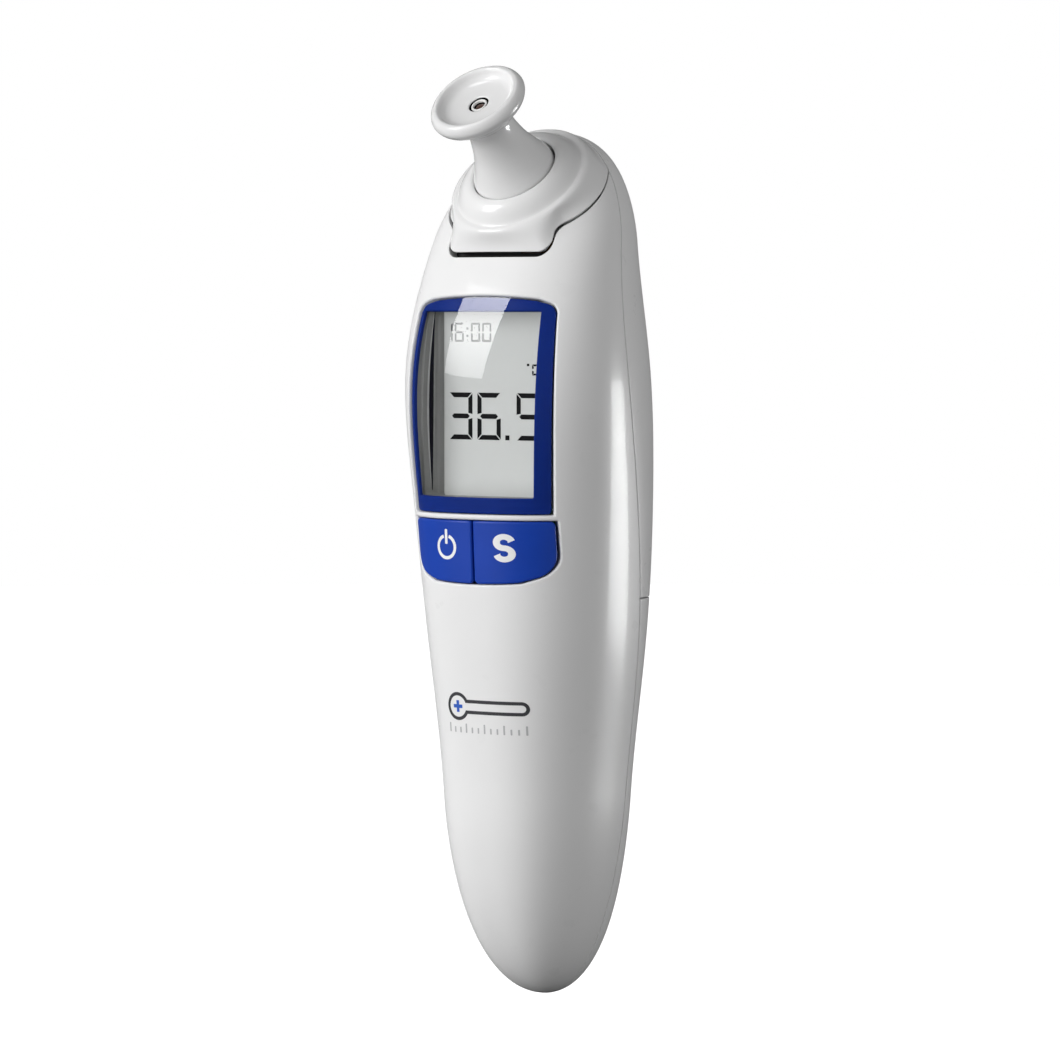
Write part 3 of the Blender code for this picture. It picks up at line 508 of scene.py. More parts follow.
def lens_outline(shrink):
    """Display lens: square foot, arched top and round upper corners."""
    half = LENS_HALF_WIDTH - shrink
    top = LENS_TOP - shrink
    corner = 2.3 - min(shrink, 0.5)
    drop = 1.0
    right = [(0.0, LENS_BOTTOM + shrink)]
    right += arc(half - 0.4, LENS_BOTTOM + shrink + 0.4, 0.4, -90, 0, 3)
    right += arc(half - corner, top - drop - corner, corner, 0, 75)
    right += [(half * x, top - drop * x * x) for x in (0.75, 0.6, 0.5, 0.4, 0.3, 0.2, 0.1)]
    return [(x + LENS_SHIFT, z) for x, z in mirrored(right + [(0.0, top)])]


def key_outline(shrink):
    """Opening for the two keys, round at its lower corners."""
    half = LENS_HALF_WIDTH - shrink
    low = KEY_BOTTOM + shrink
    corner = 4.2 - min(shrink, 0.5)
    rise = 0.9
    right = [(half * x, low + rise * x * x) for x in (0.0, 0.1, 0.2, 0.3, 0.4, 0.5, 0.6)]
    right += arc(half - corner, low + rise + corner, corner, -75, 0)
    right += arc(half - 0.4, KEY_TOP - shrink - 0.4, 0.4, 0, 90, 3)
    return mirrored(right + [(0.0, KEY_TOP - shrink)])


def one_key_outline(side, shrink):
    """Half of the keys' opening, cut off at the gap between the keys."""
    inner = HALF_GAP + shrink
    nick = 0.45
    right = [(x, z) for x, z in key_outline(KEY_GAP + shrink) if x > inner + nick + 0.1]
    top = KEY_TOP - KEY_GAP - shrink
    low = KEY_BOTTOM + KEY_GAP + shrink
    turned = arc(inner + nick, low + nick, nick, 180, 270, 4)
    right += [(inner, top)] + turned
    return right if side > 0 else [(-x, z) for x, z in right]


def rounded_box(x0, z0, x1, z1, corner):
    points = []
    for cx, cz, start in ((x1 - corner, z0 + corner, -90), (x1 - corner, z1 - corner, 0),
                          (x0 + corner, z1 - corner, 90), (x0 + corner, z0 + corner, 180)):
        points += arc(cx, cz, corner, start, start + 90, 5)
    return points


def stroked(line, across, upright):
    """Outline round a line, with one half width where it runs across and one where upright."""
    line = np.array(line, float)
    step = np.gradient(line, axis=0)
    step /= np.linalg.norm(step, axis=1, keepdims=True)
    half = across * step[:, :1] ** 2 + upright * step[:, 1:] ** 2
    side = np.stack([-step[:, 1], step[:, 0]], -1) * half
    return [tuple(p) for p in np.concatenate([line + side, (line - side)[::-1]])]


def seven_segments(x, z, width, height, stroke, lit):
    """Outlines of a digit's lit segments, named a to g from the top clockwise."""
    gap, t = 0.16 * stroke, stroke
    x1, z1, zm = x + width, z + height, z + height / 2
    across = {
        "a": [(x + gap, z1), (x1 - gap, z1), (x1 - t - gap, z1 - t), (x + t + gap, z1 - t)],
        "d": [(x + gap, z), (x1 - gap, z), (x1 - t - gap, z + t), (x + t + gap, z + t)],
        "g": [(x + t / 2 + gap, zm), (x + t + gap, zm + t / 2), (x1 - t - gap, zm + t / 2),
              (x1 - t / 2 - gap, zm), (x1 - t - gap, zm - t / 2), (x + t + gap, zm - t / 2)],
    }
    shapes = [across[name] for name in "adg" if name in lit]
    for names, edge, inner in (("fe", x, x + t), ("bc", x1, x1 - t)):
        for name, low, high in ((names[0], zm, z1), (names[1], z, zm)):
            if name in lit:
                foot = t if low == z else t / 2
                head = t if high == z1 else t / 2
                near = 0.0 if low == z else t / 4
                far = 0.0 if high == z1 else t / 4
                shapes.append([(edge, low + gap + near), (inner, low + foot + gap),
                               (inner, high - head - gap), (edge, high - gap - far)])
    return shapes


# ---------------------------------------------------------------- cap's parting line
def plane_height(turn, shift):
    """Height at which the cap's parting plane, moved up by a shift, cuts the front half."""
    def below(z):
        return z < CAP_PLANE_Z + shift + CAP_SLOPE * envelope(FRONT, turn, z)[0][..., 1]
    return bisect(below, LIP_Z - 10 + 0 * np.asarray(turn), TOP_Z)


def seam_corner(margin, shift):
    """Turn and height where the parting plane comes within a margin of the seam."""
    turn = bisect(lambda t: depth_at(FRONT, t, plane_height(t, shift)) < margin, 0.0, 1.2)
    return turn, plane_height(turn, shift)


def plane_line(start_x, margin, shift, steps=26):
    """The parting plane's line on the front half, from a distance off the middle to the seam."""
    start = bisect(lambda t: envelope(FRONT, t, plane_height(t, shift))[0][0] > start_x,
                   0.0, math.pi / 2)
    turns = np.linspace(start, seam_corner(margin, shift)[0], steps)
    return list(zip(turns, plane_height(turns, shift)))


def lip_line(low, half, corner, fillet, shift):
    """Front view of the finger lip's edge, from the middle to where it joins the plane."""
    line = [(half - corner) * x for x in np.linspace(0, 1, 12)]
    points = [(x, low) for x in line] + arc(half - corner, low + corner, corner, -90, 0, 10)[1:]
    join_z = plane_line(half, 0.5, shift, 2)[0][1]
    end_turn, end_z = plane_line(half + fillet, 0.5, shift, 2)[0]
    start = np.array((half, join_z - fillet))
    middle = np.array((half, join_z))
    end = np.array((envelope(FRONT, end_turn, end_z)[0][0], end_z))
    for t in np.linspace(0.1, 0.9, 8):
        points.append(tuple(start * (1 - t) ** 2 + middle * 2 * t * (1 - t) + end * t * t))
    return points


# ---------------------------------------------------------------- cap
def on_probe(local):
    """Points given about the probe's axis, in the frame."""
    return np.array(local) @ np.array(PROBE_TURN).T + np.array(PROBE_BASE)


def cap_base():
    """Smooth foot line of the cap on the envelope, below its real edge at the finger lip.

    Gives, for a full turn about the probe's axis, the angle, radius and height of the foot
    and the direction in which the skin starts.
    """
    def edge(x, y):
        plane = CAP_PLANE_Z + CAP_SLOPE * y
        part = np.clip((np.abs(x) - LIP_HALF_WIDTH + 1.0) / 2.2, 0.0, 1.0)
        part = part * part * (3 - 2 * part)
        return plane * part + np.minimum(plane, LIP_Z) * (1 - part)

    corner_turn, corner_z = seam_corner(HALF_GAP, 0.0)
    turns = np.linspace(math.pi / 2, corner_turn, 90)
    z = bisect(lambda s: s < edge(*envelope(FRONT, turns, s)[0].T[:2]), 55.0 + 0 * turns, TOP_Z)
    right = list(zip(turns, z))
    right += seam_edge(FRONT, HALF_GAP, corner_z, None)[1:]
    turns, heights = np.array(right + [(math.pi - t, z) for t, z in right[-2:0:-1]]).T
    points, normals = envelope(FRONT, turns, heights)
    climb = edge_directions(points, normals)
    if climb[0, 2] < 0:
        climb = -climb
    climb /= np.linalg.norm(climb, axis=1, keepdims=True)
    turn_back = np.array(PROBE_TURN.transposed())
    here = (points - np.array(PROBE_BASE)) @ turn_back.T
    angle = np.arctan2(here[:, 1], here[:, 0])
    radial = np.stack([np.cos(angle), np.sin(angle), np.zeros_like(angle)], -1)
    lean = climb + np.array((0.0, -LIP_LEAN, 0.0)) * (np.maximum(0, -radial[:, 1:2]) ** 2)
    lean = (lean / np.linalg.norm(lean, axis=1, keepdims=True)) @ turn_back.T
    rows = np.stack([angle, np.hypot(here[:, 0], here[:, 1]), here[:, 2],
                     np.sum(lean * radial, axis=1), lean[:, 2]], -1)
    rows = rows[np.argsort(rows[:, 0])]
    before, after = rows[-3:].copy(), rows[:3].copy()
    before[:, 0] -= 2 * math.pi
    after[:, 0] += 2 * math.pi
    return np.concatenate([before, rows, after])


CAP_BASE = cap_base()


def cap_skin(angle, t):
    """Point of the cap's smooth skin, from its foot line (t = 0) to the collar (t = 1)."""
    angle, t = np.broadcast_arrays(np.asarray(angle, float), np.asarray(t, float))
    wrapped = (angle + math.pi) % (2 * math.pi) - math.pi
    radius, height, out, up = (np.interp(wrapped, CAP_BASE[:, 0], CAP_BASE[:, i])
                               for i in range(1, 5))
    s = 1 - t
    r = (radius * s ** 3 + (radius + out * FOOT_PULL) * 3 * s * s * t
         + (COLLAR_FOOT[0] + COLLAR_PULL) * 3 * s * t * t + COLLAR_FOOT[0] * t ** 3)
    h = (height * s ** 3 + (height + up * FOOT_PULL) * 3 * s * s * t
         + COLLAR_FOOT[1] * (3 * s * t * t + t ** 3))
    return on_probe(np.stack([r * np.cos(angle), r * np.sin(angle), h], -1))


def cap_slopes(angle, t):
    """Derivatives of the cap's skin along both of its directions, and its outward normal."""
    nudge = 1e-3
    along = (cap_skin(angle + nudge, t) - cap_skin(angle - nudge, t)) / (2 * nudge)
    up = (cap_skin(angle, t + nudge) - cap_skin(angle, t - nudge)) / (2 * nudge)
    normal = np.cross(along, up)
    return along, up, normal / np.linalg.norm(normal, axis=-1, keepdims=True)


def cap_edge():
    """Angle and t of the cap's real edge for a full turn, from the front middle round +X."""
    angles, starts = [], []
    guess = np.array((-math.pi / 2, 0.02))
    corner_x = LIP_HALF_WIDTH + LIP_FILLET
    for x, z in lip_line(LIP_Z, LIP_HALF_WIDTH, LIP_CORNER, LIP_FILLET, CAP_CLEARANCE):
        for _ in range(20):
            miss = cap_skin(*guess)[[0, 2]] - np.array((x, z))
            along, up, _ = cap_slopes(*guess)
            system = np.array([(along[0], up[0]), (along[2], up[2])])
            guess = guess - np.clip(np.linalg.solve(system, miss), -0.2, 0.2)
        angles.append(guess[0])
        starts.append(guess[1])
    rest = np.linspace(angles[-1], math.pi / 2, 92)[1:]

    def below(t):
        point = cap_skin(rest, t)
        return point[:, 2] < CAP_PLANE_Z + CAP_CLEARANCE + CAP_SLOPE * point[:, 1]

    on_plane = bisect(below, 0 * rest - 0.05, 0.7)
    in_front = (cap_skin(rest, 0.0)[:, 0] < corner_x + 3) & (rest < 0)
    start = np.where(in_front, np.maximum(0.005, on_plane), 0.005)
    angles, starts = np.append(angles, rest), np.append(starts, start)
    angles = np.concatenate([angles, math.pi - angles[-2:0:-1]])
    return angles, np.concatenate([starts, starts[-2:0:-1]])


def smooth_profile(points, steps=6):
    """Catmull-Rom curve through profile points; a point given twice is a corner."""
    points = [np.array(p, float) for p in points]
    out = []
    for i in range(len(points) - 1):
        a, b = points[i], points[i + 1]
        if np.allclose(a, b):
            continue
        before = points[i - 1] if i and not np.allclose(points[i - 1], a) else a
        after = points[i + 2] if i + 2 < len(points) and not np.allclose(points[i + 2], b) else b
        reach = np.linalg.norm(b - a)
        m0 = (b - before) / max(np.linalg.norm(b - before), 1e-9) * reach
        m1 = (after - a) / max(np.linalg.norm(after - a), 1e-9) * reach
        for k in range(steps):
            t = k / steps
            out.append((2 * t ** 3 - 3 * t * t + 1) * a + (t ** 3 - 2 * t * t + t) * m0
                       + (3 * t * t - 2 * t ** 3) * b + (t ** 3 - t * t) * m1)
    out.append(points[-1])
    return out


def make_cap():
    """Cap shell: a closed sleeve of rings from its edge up to the collar and back inside."""
    angles, starts = cap_edge()
    radius = 0.2
    edge = cap_skin(angles, starts)
    along, up, normal = cap_slopes(angles, starts)
    inward = edge_directions(edge, normal)
    inward *= np.sign(np.sum(inward * up, axis=1, keepdims=True))
    moved = []
    for j, push in enumerate(inward * radius):
        system = np.stack([along[j], up[j]], -1)
        moved.append(np.linalg.lstsq(system, push, rcond=None)[0])
    angles, starts = (np.stack([angles, starts], -1) + np.array(moved)).T
    border = cap_skin(angles, starts)
    normal = cap_slopes(angles, starts)[2]
    inward = edge_directions(border, normal)
    inward *= np.sign(np.sum(inward * up, axis=1, keepdims=True))
    shares = [0.0, 0.01, 0.03, 0.06, 0.1] + list(np.linspace(0.15, 1.0, 18))
    bands, tilts = [], []
    for share in shares:
        t = starts + (1 - starts) * share
        bands.append(cap_skin(angles, t))
        tilts.append(cap_slopes(angles, np.minimum(t, 0.999))[2])

    def ring(r, h):
        opened = 0.3 * np.maximum(0.0, np.cos(angles)) * np.clip((8.6 - r) / 1.2, 0.0, 1.0)
        x, y = (r + opened) * np.cos(angles), (r + opened) * np.sin(angles)
        return on_probe(np.stack([x, y, np.full(len(angles), h)], -1))

    collar = smooth_profile([COLLAR_FOOT, (11.0, -1.74), (10.65, -1.45), (10.25, -0.95),
                             (9.75, -0.35), (9.1, 0.2), (8.4, 0.56), (7.8, 0.7), (7.4, 0.68),
                             (7.1, 0.45), (7.05, 0.0), (7.05, 0.0), (7.05, -4.2)], 4)[1:]
    rings = [border - inward * radius - normal * (CAP_WALL - 0.1)]
    for k in range(ROUND_STEPS, 0, -1):
        angle = math.pi / 2 * k / ROUND_STEPS
        rings.append(border - inward * radius * math.sin(angle)
                     - normal * radius * (1 - math.cos(angle)))
    rings += bands
    rings += [ring(r, h) for r, h in collar]
    rings.append(ring(8.4, -4.2))
    rings += [band - tilt * CAP_WALL for band, tilt in zip(bands[:-6:-1] + bands[-6::-3],
                                                           tilts[:-6:-1] + tilts[-6::-3])][2:]
    rings.append(border - normal * CAP_WALL)
    # the cap's wall and inside take the shell's painted shade
    cap = sleeve("forehead_cap", rings, "cap", [CAP_GLOSS, SHELL_PAINTED_SHADE],
                 1 + ROUND_STEPS + len(bands) + len(collar))
    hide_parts("cap_shell")


def sleeve(name, rings, body, materials, inner_from=math.inf):
    """Closed surface through rings, the last one joined to the first; inner ones come last."""
    count = len(rings[0])
    verts = np.concatenate(rings)
    faces, kinds = [], []
    for k in range(len(rings)):
        a, b = k * count, (k + 1) % len(rings) * count
        for i in range(count):
            j = (i + 1) % count
            faces.append((a + i, a + j, b + j, b + i))
            kinds.append(1 if k >= inner_from else 0)
    return make_object(name, verts, faces, body, materials, kinds)


def turned(name, profile, body, slot, materials, count, inner_from=math.inf):
    """Solid of revolution about the probe, from (radius, height) points, outer side first."""
    verts, rows = [], []
    for r, h in profile:
        if r < 1e-6:
            rows.append([len(verts)] * count)
            verts.append((0.0, 0.0, h))
            continue
        rows.append(list(range(len(verts), len(verts) + count)))
        verts += [(r * math.cos(a), r * math.sin(a), h)
                  for a in np.linspace(0, 2 * math.pi, count, endpoint=False)]
    closed = profile[0][0] > 1e-6 and profile[-1][0] > 1e-6
    faces, kinds = [], []
    for k, (a, b) in enumerate(zip(rows, rows[1:] + (rows[:1] if closed else []))):
        for i in range(count):
            j = (i + 1) % count
            face = [a[i], b[i], b[j], a[j]]
            unique = list(dict.fromkeys(face))
            if len(unique) > 2:
                faces.append(tuple(unique))
                kinds.append(1 if k >= inner_from else 0)
    return make_object(name, on_probe(verts), faces, body, materials, kinds)


# ---------------------------------------------------------------- materials
def linear(red, green, blue):
    """Linear colour from 0 to 255 display values."""
    return tuple((c / 255 / 12.92 if c <= 10.31 else ((c / 255 + 0.055) / 1.055) ** 2.4)
                 for c in (red, green, blue))


def mapped(nodes, links, value, source, target):
    """Value moved from one range to another, and kept inside it."""
    node = nodes.new("ShaderNodeMapRange")
    for name, level in zip(("From Min", "From Max", "To Min", "To Max"), source + target):
        node.inputs[name].default_value = level
    links.new(value, node.inputs["Value"])
    return node.outputs["Result"]


def reckoned(nodes, links, operation, first, second):
    """Result of a sum with two terms, each a number or a socket."""
    node = nodes.new("ShaderNodeMath")
    node.operation = operation
    for socket, term in zip(node.inputs, (first, second)):
        if isinstance(term, float):
            socket.default_value = term
        else:
            links.new(term, socket)
    return node.outputs["Value"]


def object_noise(nodes, links, size, detail=2.0):
    """Noise fixed to the object, its size in millimetres."""
    node = nodes.new("ShaderNodeTexNoise")
    node.inputs["Scale"].default_value = 1 / (size * MM)
    node.inputs["Detail"].default_value = detail
    links.new(nodes.new("ShaderNodeTexCoord").outputs["Object"], node.inputs["Vector"])
    return node.outputs["Fac"]


def surface(name, colour, roughness=0.3, metallic=0.0, specular=0.5, coat=0.0, speckle=0.02,
            grain=0.0, grain_size=0.3, spread=0.03):
    """Moulded or machined surface: a faint change of colour, uneven gloss and a fine grain.

    The grain is a height in millimetres and its size the width of one bump.
    """
    material = bpy.data.materials.new(name)
    material.use_nodes = True
    nodes, links = material.node_tree.nodes, material.node_tree.links
    shader = nodes["Principled BSDF"]
    shader.inputs["Metallic"].default_value = metallic
    shader.inputs["Specular IOR Level"].default_value = specular
    shader.inputs["Coat Weight"].default_value = coat
    shader.inputs["Coat Roughness"].default_value = 0.03
    tint = nodes.new("ShaderNodeMix")
    tint.data_type = 'RGBA'
    tint.inputs["A"].default_value = (*(c * (1 - speckle) for c in colour), 1.0)
    tint.inputs["B"].default_value = (*(min(1.0, c * (1 + speckle)) for c in colour), 1.0)
    cloud = object_noise(nodes, links, 9.0, 3.0)
    links.new(mapped(nodes, links, cloud, NOISE_RANGE, (0.0, 1.0)), tint.inputs["Factor"])
    links.new(tint.outputs["Result"], shader.inputs["Base Color"])
    wear = object_noise(nodes, links, 4.0, 4.0)
    gloss = (max(0.0, roughness - spread), roughness + spread)
    links.new(mapped(nodes, links, wear, NOISE_RANGE, gloss), shader.inputs["Roughness"])
    if grain:
        bump = nodes.new("ShaderNodeBump")
        bump.inputs["Distance"].default_value = grain * MM
        links.new(object_noise(nodes, links, grain_size), bump.inputs["Height"])
        links.new(bump.outputs["Normal"], shader.inputs["Normal"])
    return material


def clear_lens():
    """Hard-coated clear acrylic: a mirror-like skin over a see-through sheet."""
    material = bpy.data.materials.new("lens_acrylic")
    material.use_nodes = True
    nodes, links = material.node_tree.nodes, material.node_tree.links
    nodes.remove(nodes["Principled BSDF"])
    clear = nodes.new("ShaderNodeBsdfTransparent")
    clear.inputs["Color"].default_value = (0.96, 0.965, 0.97, 1.0)
    gloss = nodes.new("ShaderNodeBsdfGlossy")
    gloss.inputs["Color"].default_value = (1.0, 1.0, 1.0, 1.0)
    smear = object_noise(nodes, links, 6.0)
    links.new(mapped(nodes, links, smear, (0.0, 1.0), (0.015, 0.045)), gloss.inputs["Roughness"])
    fresnel = nodes.new("ShaderNodeFresnel")
    fresnel.inputs["IOR"].default_value = LENS_IOR
    shine = reckoned(nodes, links, 'MINIMUM', fresnel.outputs["Fac"], LENS_SHINE)
    back = nodes.new("ShaderNodeNewGeometry").outputs["Backfacing"]
    front = reckoned(nodes, links, 'SUBTRACT', 1.0, back)
    mix = nodes.new("ShaderNodeMixShader")
    links.new(reckoned(nodes, links, 'MULTIPLY', shine, front), mix.inputs["Fac"])
    links.new(clear.outputs["BSDF"], mix.inputs[1])
    links.new(gloss.outputs["BSDF"], mix.inputs[2])
    links.new(mix.outputs["Shader"], nodes["Material Output"].inputs["Surface"])
    return material


NOISE_RANGE = (0.3, 0.7)       # where nearly all of the noise lies
SHELL_COLOUR = (0.80, 0.80, 0.80)
WHITE = surface("shell_gloss", SHELL_COLOUR, 0.3, specular=0.12, coat=0.1, speckle=0.008)
# Painted shade: the white shells' and cap's inner faces and gap walls are dark grey, so seams and gaps
# look dark
SHELL_PAINTED_SHADE = surface("shell_inside_painted_shade", (0.16, 0.16, 0.165), 0.6, grain=0.02)
CAP_GLOSS = surface("cap_gloss", SHELL_COLOUR, 0.22, specular=0.25, coat=0.35, speckle=0.008)
# Painted shade: the white cone's and tube's inner faces are near black, for the shade inside the hole
HOLE_PAINTED_SHADE = surface("hole_painted_shade", (0.012, 0.012, 0.012), 0.7, specular=0.1, speckle=0.1)
TUBE_GLOSS = surface("tube_gloss", (0.85, 0.85, 0.84), 0.25, speckle=0.01, grain=0.003)
BLUE = surface("blue_gloss", linear(19, 63, 168), 0.35, specular=0.2, coat=0.06, speckle=0.04)
BEZEL_BLUE = surface("bezel_blue", linear(10, 44, 130), 0.4, specular=0.05, speckle=0.04)
# Painted shade: the blue parts' inner faces and edge walls are near black, in place of shade on the
# same blue plastic
BLUE_PAINTED_SHADE = surface("blue_inside_painted_shade", linear(6, 8, 38), 0.6, grain=0.01)
LENS = clear_lens()
INK = surface("lcd_ink", (0.005, 0.005, 0.006), 0.5, specular=0.05, speckle=0.1)
FAINT_INK = surface("lcd_faint_ink", (0.14, 0.142, 0.14), 0.5, specular=0.1, speckle=0.05)
PRINT_WHITE = surface("print_white", (0.86, 0.86, 0.85), 0.45, grain=0.004)
PRINT_GREY = surface("print_grey", (0.05, 0.05, 0.055), 0.45, specular=0.2, speckle=0.05)
PRINT_PALE = surface("print_pale", (0.45, 0.45, 0.46), 0.45, speckle=0.05, grain=0.004)
PRINT_BLUE = surface("print_blue", linear(34, 88, 190), 0.45, speckle=0.05, grain=0.004)
WELL_GREY = surface("well_grey", (0.31, 0.31, 0.30), 0.45, speckle=0.05, grain=0.01)
# Painted shade: a blue-black strip stands for the shaded gap between the well and the bezel
SLIT_PAINTED_SHADE = surface("slit_painted_shade", linear(3, 3, 26), 0.6, specular=0.1)
RIB_GREY = surface("rib_grey", (0.50, 0.50, 0.49), 0.4, speckle=0.05)
LCD_FILM = surface("lcd_film", linear(*LCD_COLOUR), 0.3, speckle=0.012, spread=0.02,
                   grain=0.002, grain_size=0.15)
LCD_SHADER = LCD_FILM.node_tree.nodes["Principled BSDF"]
# Painted glow: a weak emission brightens the display's film evenly, in place of light falling on it
LCD_SHADER.inputs["Emission Color"].default_value = (*linear(*LCD_COLOUR), 1.0)
LCD_SHADER.inputs["Emission Strength"].default_value = 0.22
BOARD_GREEN = surface("solder_mask", (0.03, 0.22, 0.10), 0.4, speckle=0.1, grain=0.01)
SILICON = surface("silicon_filter", (0.10, 0.06, 0.05), 0.1, specular=0.9)
NICKEL = surface("nickel_plate", (0.70, 0.70, 0.68), 0.28, metallic=1.0, grain=0.004)
STEEL = surface("steel", (0.56, 0.56, 0.57), 0.35, metallic=1.0, grain=0.006)
MOULD_BLACK = surface("mould_black", (0.02, 0.02, 0.021), 0.5, speckle=0.1, grain=0.02)
CELL = surface("cell_sleeve", linear(40, 46, 58), 0.3, speckle=0.05, grain=0.004)

# the CAD nodes that are shown as they are
CAD_SURFACES = (
    (LCD_FILM, "lcd_glass"),
    (surface("diffuser", (0.85, 0.86, 0.88), 0.6, grain=0.01), "lcd_backlight"),
    (surface("elastomer", (0.30, 0.25, 0.30), 0.8, speckle=0.2, grain=0.02), "lcd_connector"),
    (surface("housing_grey", (0.55, 0.56, 0.57), 0.5, grain=0.02), "probe_housing"),
    (surface("probe_white", (0.78, 0.78, 0.79), 0.3, grain=0.006), "ear_probe"),
    (SILICON, "probe_window"),
    (surface("gold_plate", (0.83, 0.62, 0.25), 0.15, metallic=1.0), "wave_guide"),
    (surface("nickel_can", (0.72, 0.72, 0.70), 0.25, metallic=1.0), "thermopile_sensor"),
    (surface("zinc_casting", (0.50, 0.51, 0.53), 0.45, metallic=1.0, grain=0.02), "sensor_holder"),
    (BOARD_GREEN, "sensor_board", "main_board"),
    (surface("polyimide", (0.12, 0.055, 0.015), 0.35, speckle=0.08), "sensor_ribbon"),
    (surface("tray_grey", (0.42, 0.43, 0.44), 0.5, grain=0.03), "battery_tray"),
    (surface("label_film", (0.58, 0.59, 0.61), 0.4, speckle=0.03, grain=0.01), "rear_label"),
    (MOULD_BLACK, "controller_chip", "memory_chip", "buzzer", "power_plunger", "scan_plunger"),
    (NICKEL, "power_switch", "scan_switch", "contact_plate_left", "contact_plate_right",
     "battery_spring_left", "battery_spring_right"),
    (STEEL, "tray_screw_left", "tray_screw_right"),
    (CELL, "battery_left", "battery_right"),
)
for material, *names in CAD_SURFACES:
    for name in names:
        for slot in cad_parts[name].material_slots:
            slot.material = material


# ---------------------------------------------------------------- shells
def make_front_shell():
    """Front half up to the cap, with its two openings and a dark strip behind the lip's gap."""
    shift = -SEAM_MARGIN * math.hypot(1, CAP_SLOPE)
    _, corner_z = seam_corner(SEAM_MARGIN, shift)
    low = LIP_Z - LIP_GAP - EDGE
    half = LIP_HALF_WIDTH + LIP_SIDE_GAP + EDGE
    corner, fillet = LIP_CORNER + 0.3, LIP_FILLET - 0.2
    lip = lip_line(low, half, corner, fillet, shift)
    top = [(float(turn_at(x, z)), z) for x, z in lip]
    top += plane_line(half + fillet + 0.15, SEAM_MARGIN, shift)
    right = seam_edge(FRONT, SEAM_MARGIN, None, corner_z) + top[::-1][1:]
    holes = [seen_outline(lens_outline(-HOLE_EDGE)), seen_outline(key_outline(-HOLE_EDGE))]
    shell = patch("front_shell_skin", FRONT, mirrored_loop(right), "handle", "shell_white",
                  # inner faces and gap walls of the shell take the painted shade
                  [WHITE, SHELL_PAINTED_SHADE], holes, radius=EDGE, hole_radius=HOLE_EDGE)
    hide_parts("front_shell")
    half, low, high = LIP_HALF_WIDTH + 1.0, LIP_Z - 3.0, LIP_Z + 0.8
    # Painted shade: a black sheet behind the finger lip's gap makes the gap look dark
    patch("lip_gap_painted_shade", FRONT, seen_outline(rounded_box(-half, low, half, high, 0.5)), "handle",
          None, [MOULD_BLACK], sink=2.2, thickness=0.5, radius=0.1)


def make_rear_shell():
    """Back half from the cover's top edge up to the crown."""
    low = COVER_TOP + SEAM_MARGIN
    edge = seam_edge(REAR, SEAM_MARGIN, low, None)
    foot = [(t, low) for t in np.linspace(math.pi / 2, edge[0][0], 30)[:-1]]
    shell = patch("rear_shell_skin", REAR, mirrored_loop(foot + edge), "handle", "shell_white",
                  [WHITE, SHELL_PAINTED_SHADE], radius=EDGE)
    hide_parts("rear_shell")


def make_battery_cover():
    """Back half from the tip up to its straight top edge."""
    high = COVER_TOP - SEAM_MARGIN
    edge = seam_edge(REAR, SEAM_MARGIN, None, high)
    head = [(t, high) for t in np.linspace(edge[-1][0], math.pi / 2, 30)[1:]]
    cover = patch("battery_cover_skin", REAR, mirrored_loop(edge + head), "cover", "shell_white",
                  [WHITE, SHELL_PAINTED_SHADE], radius=EDGE)
    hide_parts("battery_cover")


# ---------------------------------------------------------------- display
def make_display():
    """Clear lens and the blue bezel below it."""
    rim = 0.15
    lens = patch("display_lens_clear", FRONT, seen_outline(lens_outline(LENS_GAP + rim)), "handle",
                 "lens_clear", [LENS], thickness=LENS_THICKNESS, radius=rim)
    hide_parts("display_lens")
    left, low, right, high = WINDOW
    cut = 0.25
    window = rounded_box(left - cut, low - cut, right + cut, high + cut, 0.5)
    # the bezel's inner faces and window walls take the blue painted shade
    bezel = patch("display_bezel_blue", FRONT, seen_outline(lens_outline(BEZEL_GAP + cut)), "handle",
                  "blue_plastic", [BEZEL_BLUE, BLUE_PAINTED_SHADE], [seen_outline(window)], sink=BEZEL_SINK,
                  thickness=BEZEL_THICKNESS, radius=cut, pitch=0.8)
    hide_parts("display_bezel")


def well_wall(side, part, z):
    """Point of the well's side wall, a part of the way from the bezel down to the glass."""
    steps = WELL_STEPS if side < 0 else ((0.0, WELL_RIGHT), (1.0, WELL_RIGHT))
    x = np.interp(part, *np.array(steps).T)
    front = envelope(FRONT, turn_at(x, z), z, WELL_SINK)[0][..., 1]
    return x, front + (WELL_FOOT_Y - front) * part


def make_well():
    """Grey walls between the bezel and the display's glass; the left one slopes and is ribbed."""
    _, low, _, high = WINDOW
    middle, half = (low + high) / 2, (high - low) / 2 + WELL_MARGIN
    base = densify(np.array(rounded_box(-1.0, -1.0, 1.0, 1.0, 0.03)), 0.08)
    rings = []
    for part, x in WELL_STEPS + ((1.0, WELL_OUTSIDE), (0.0, WELL_OUTSIDE)):
        wall = 1.2 if x == WELL_OUTSIDE else 0.0
        reach_x = WELL_RIGHT + wall
        z = middle + base[:, 1] * (half + wall)
        across = (reach_x + x) / 2 + base[:, 0] * (reach_x - x) / 2
        front = envelope(FRONT, turn_at(across, z), z, WELL_SINK)[0][:, 1]
        rings.append(np.stack([across, front + (WELL_FOOT_Y - front) * part, z], -1))
    well = sleeve("display_well", rings, "handle", [WELL_GREY])
    well.data.shade_flat()
    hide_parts("lcd_frame")


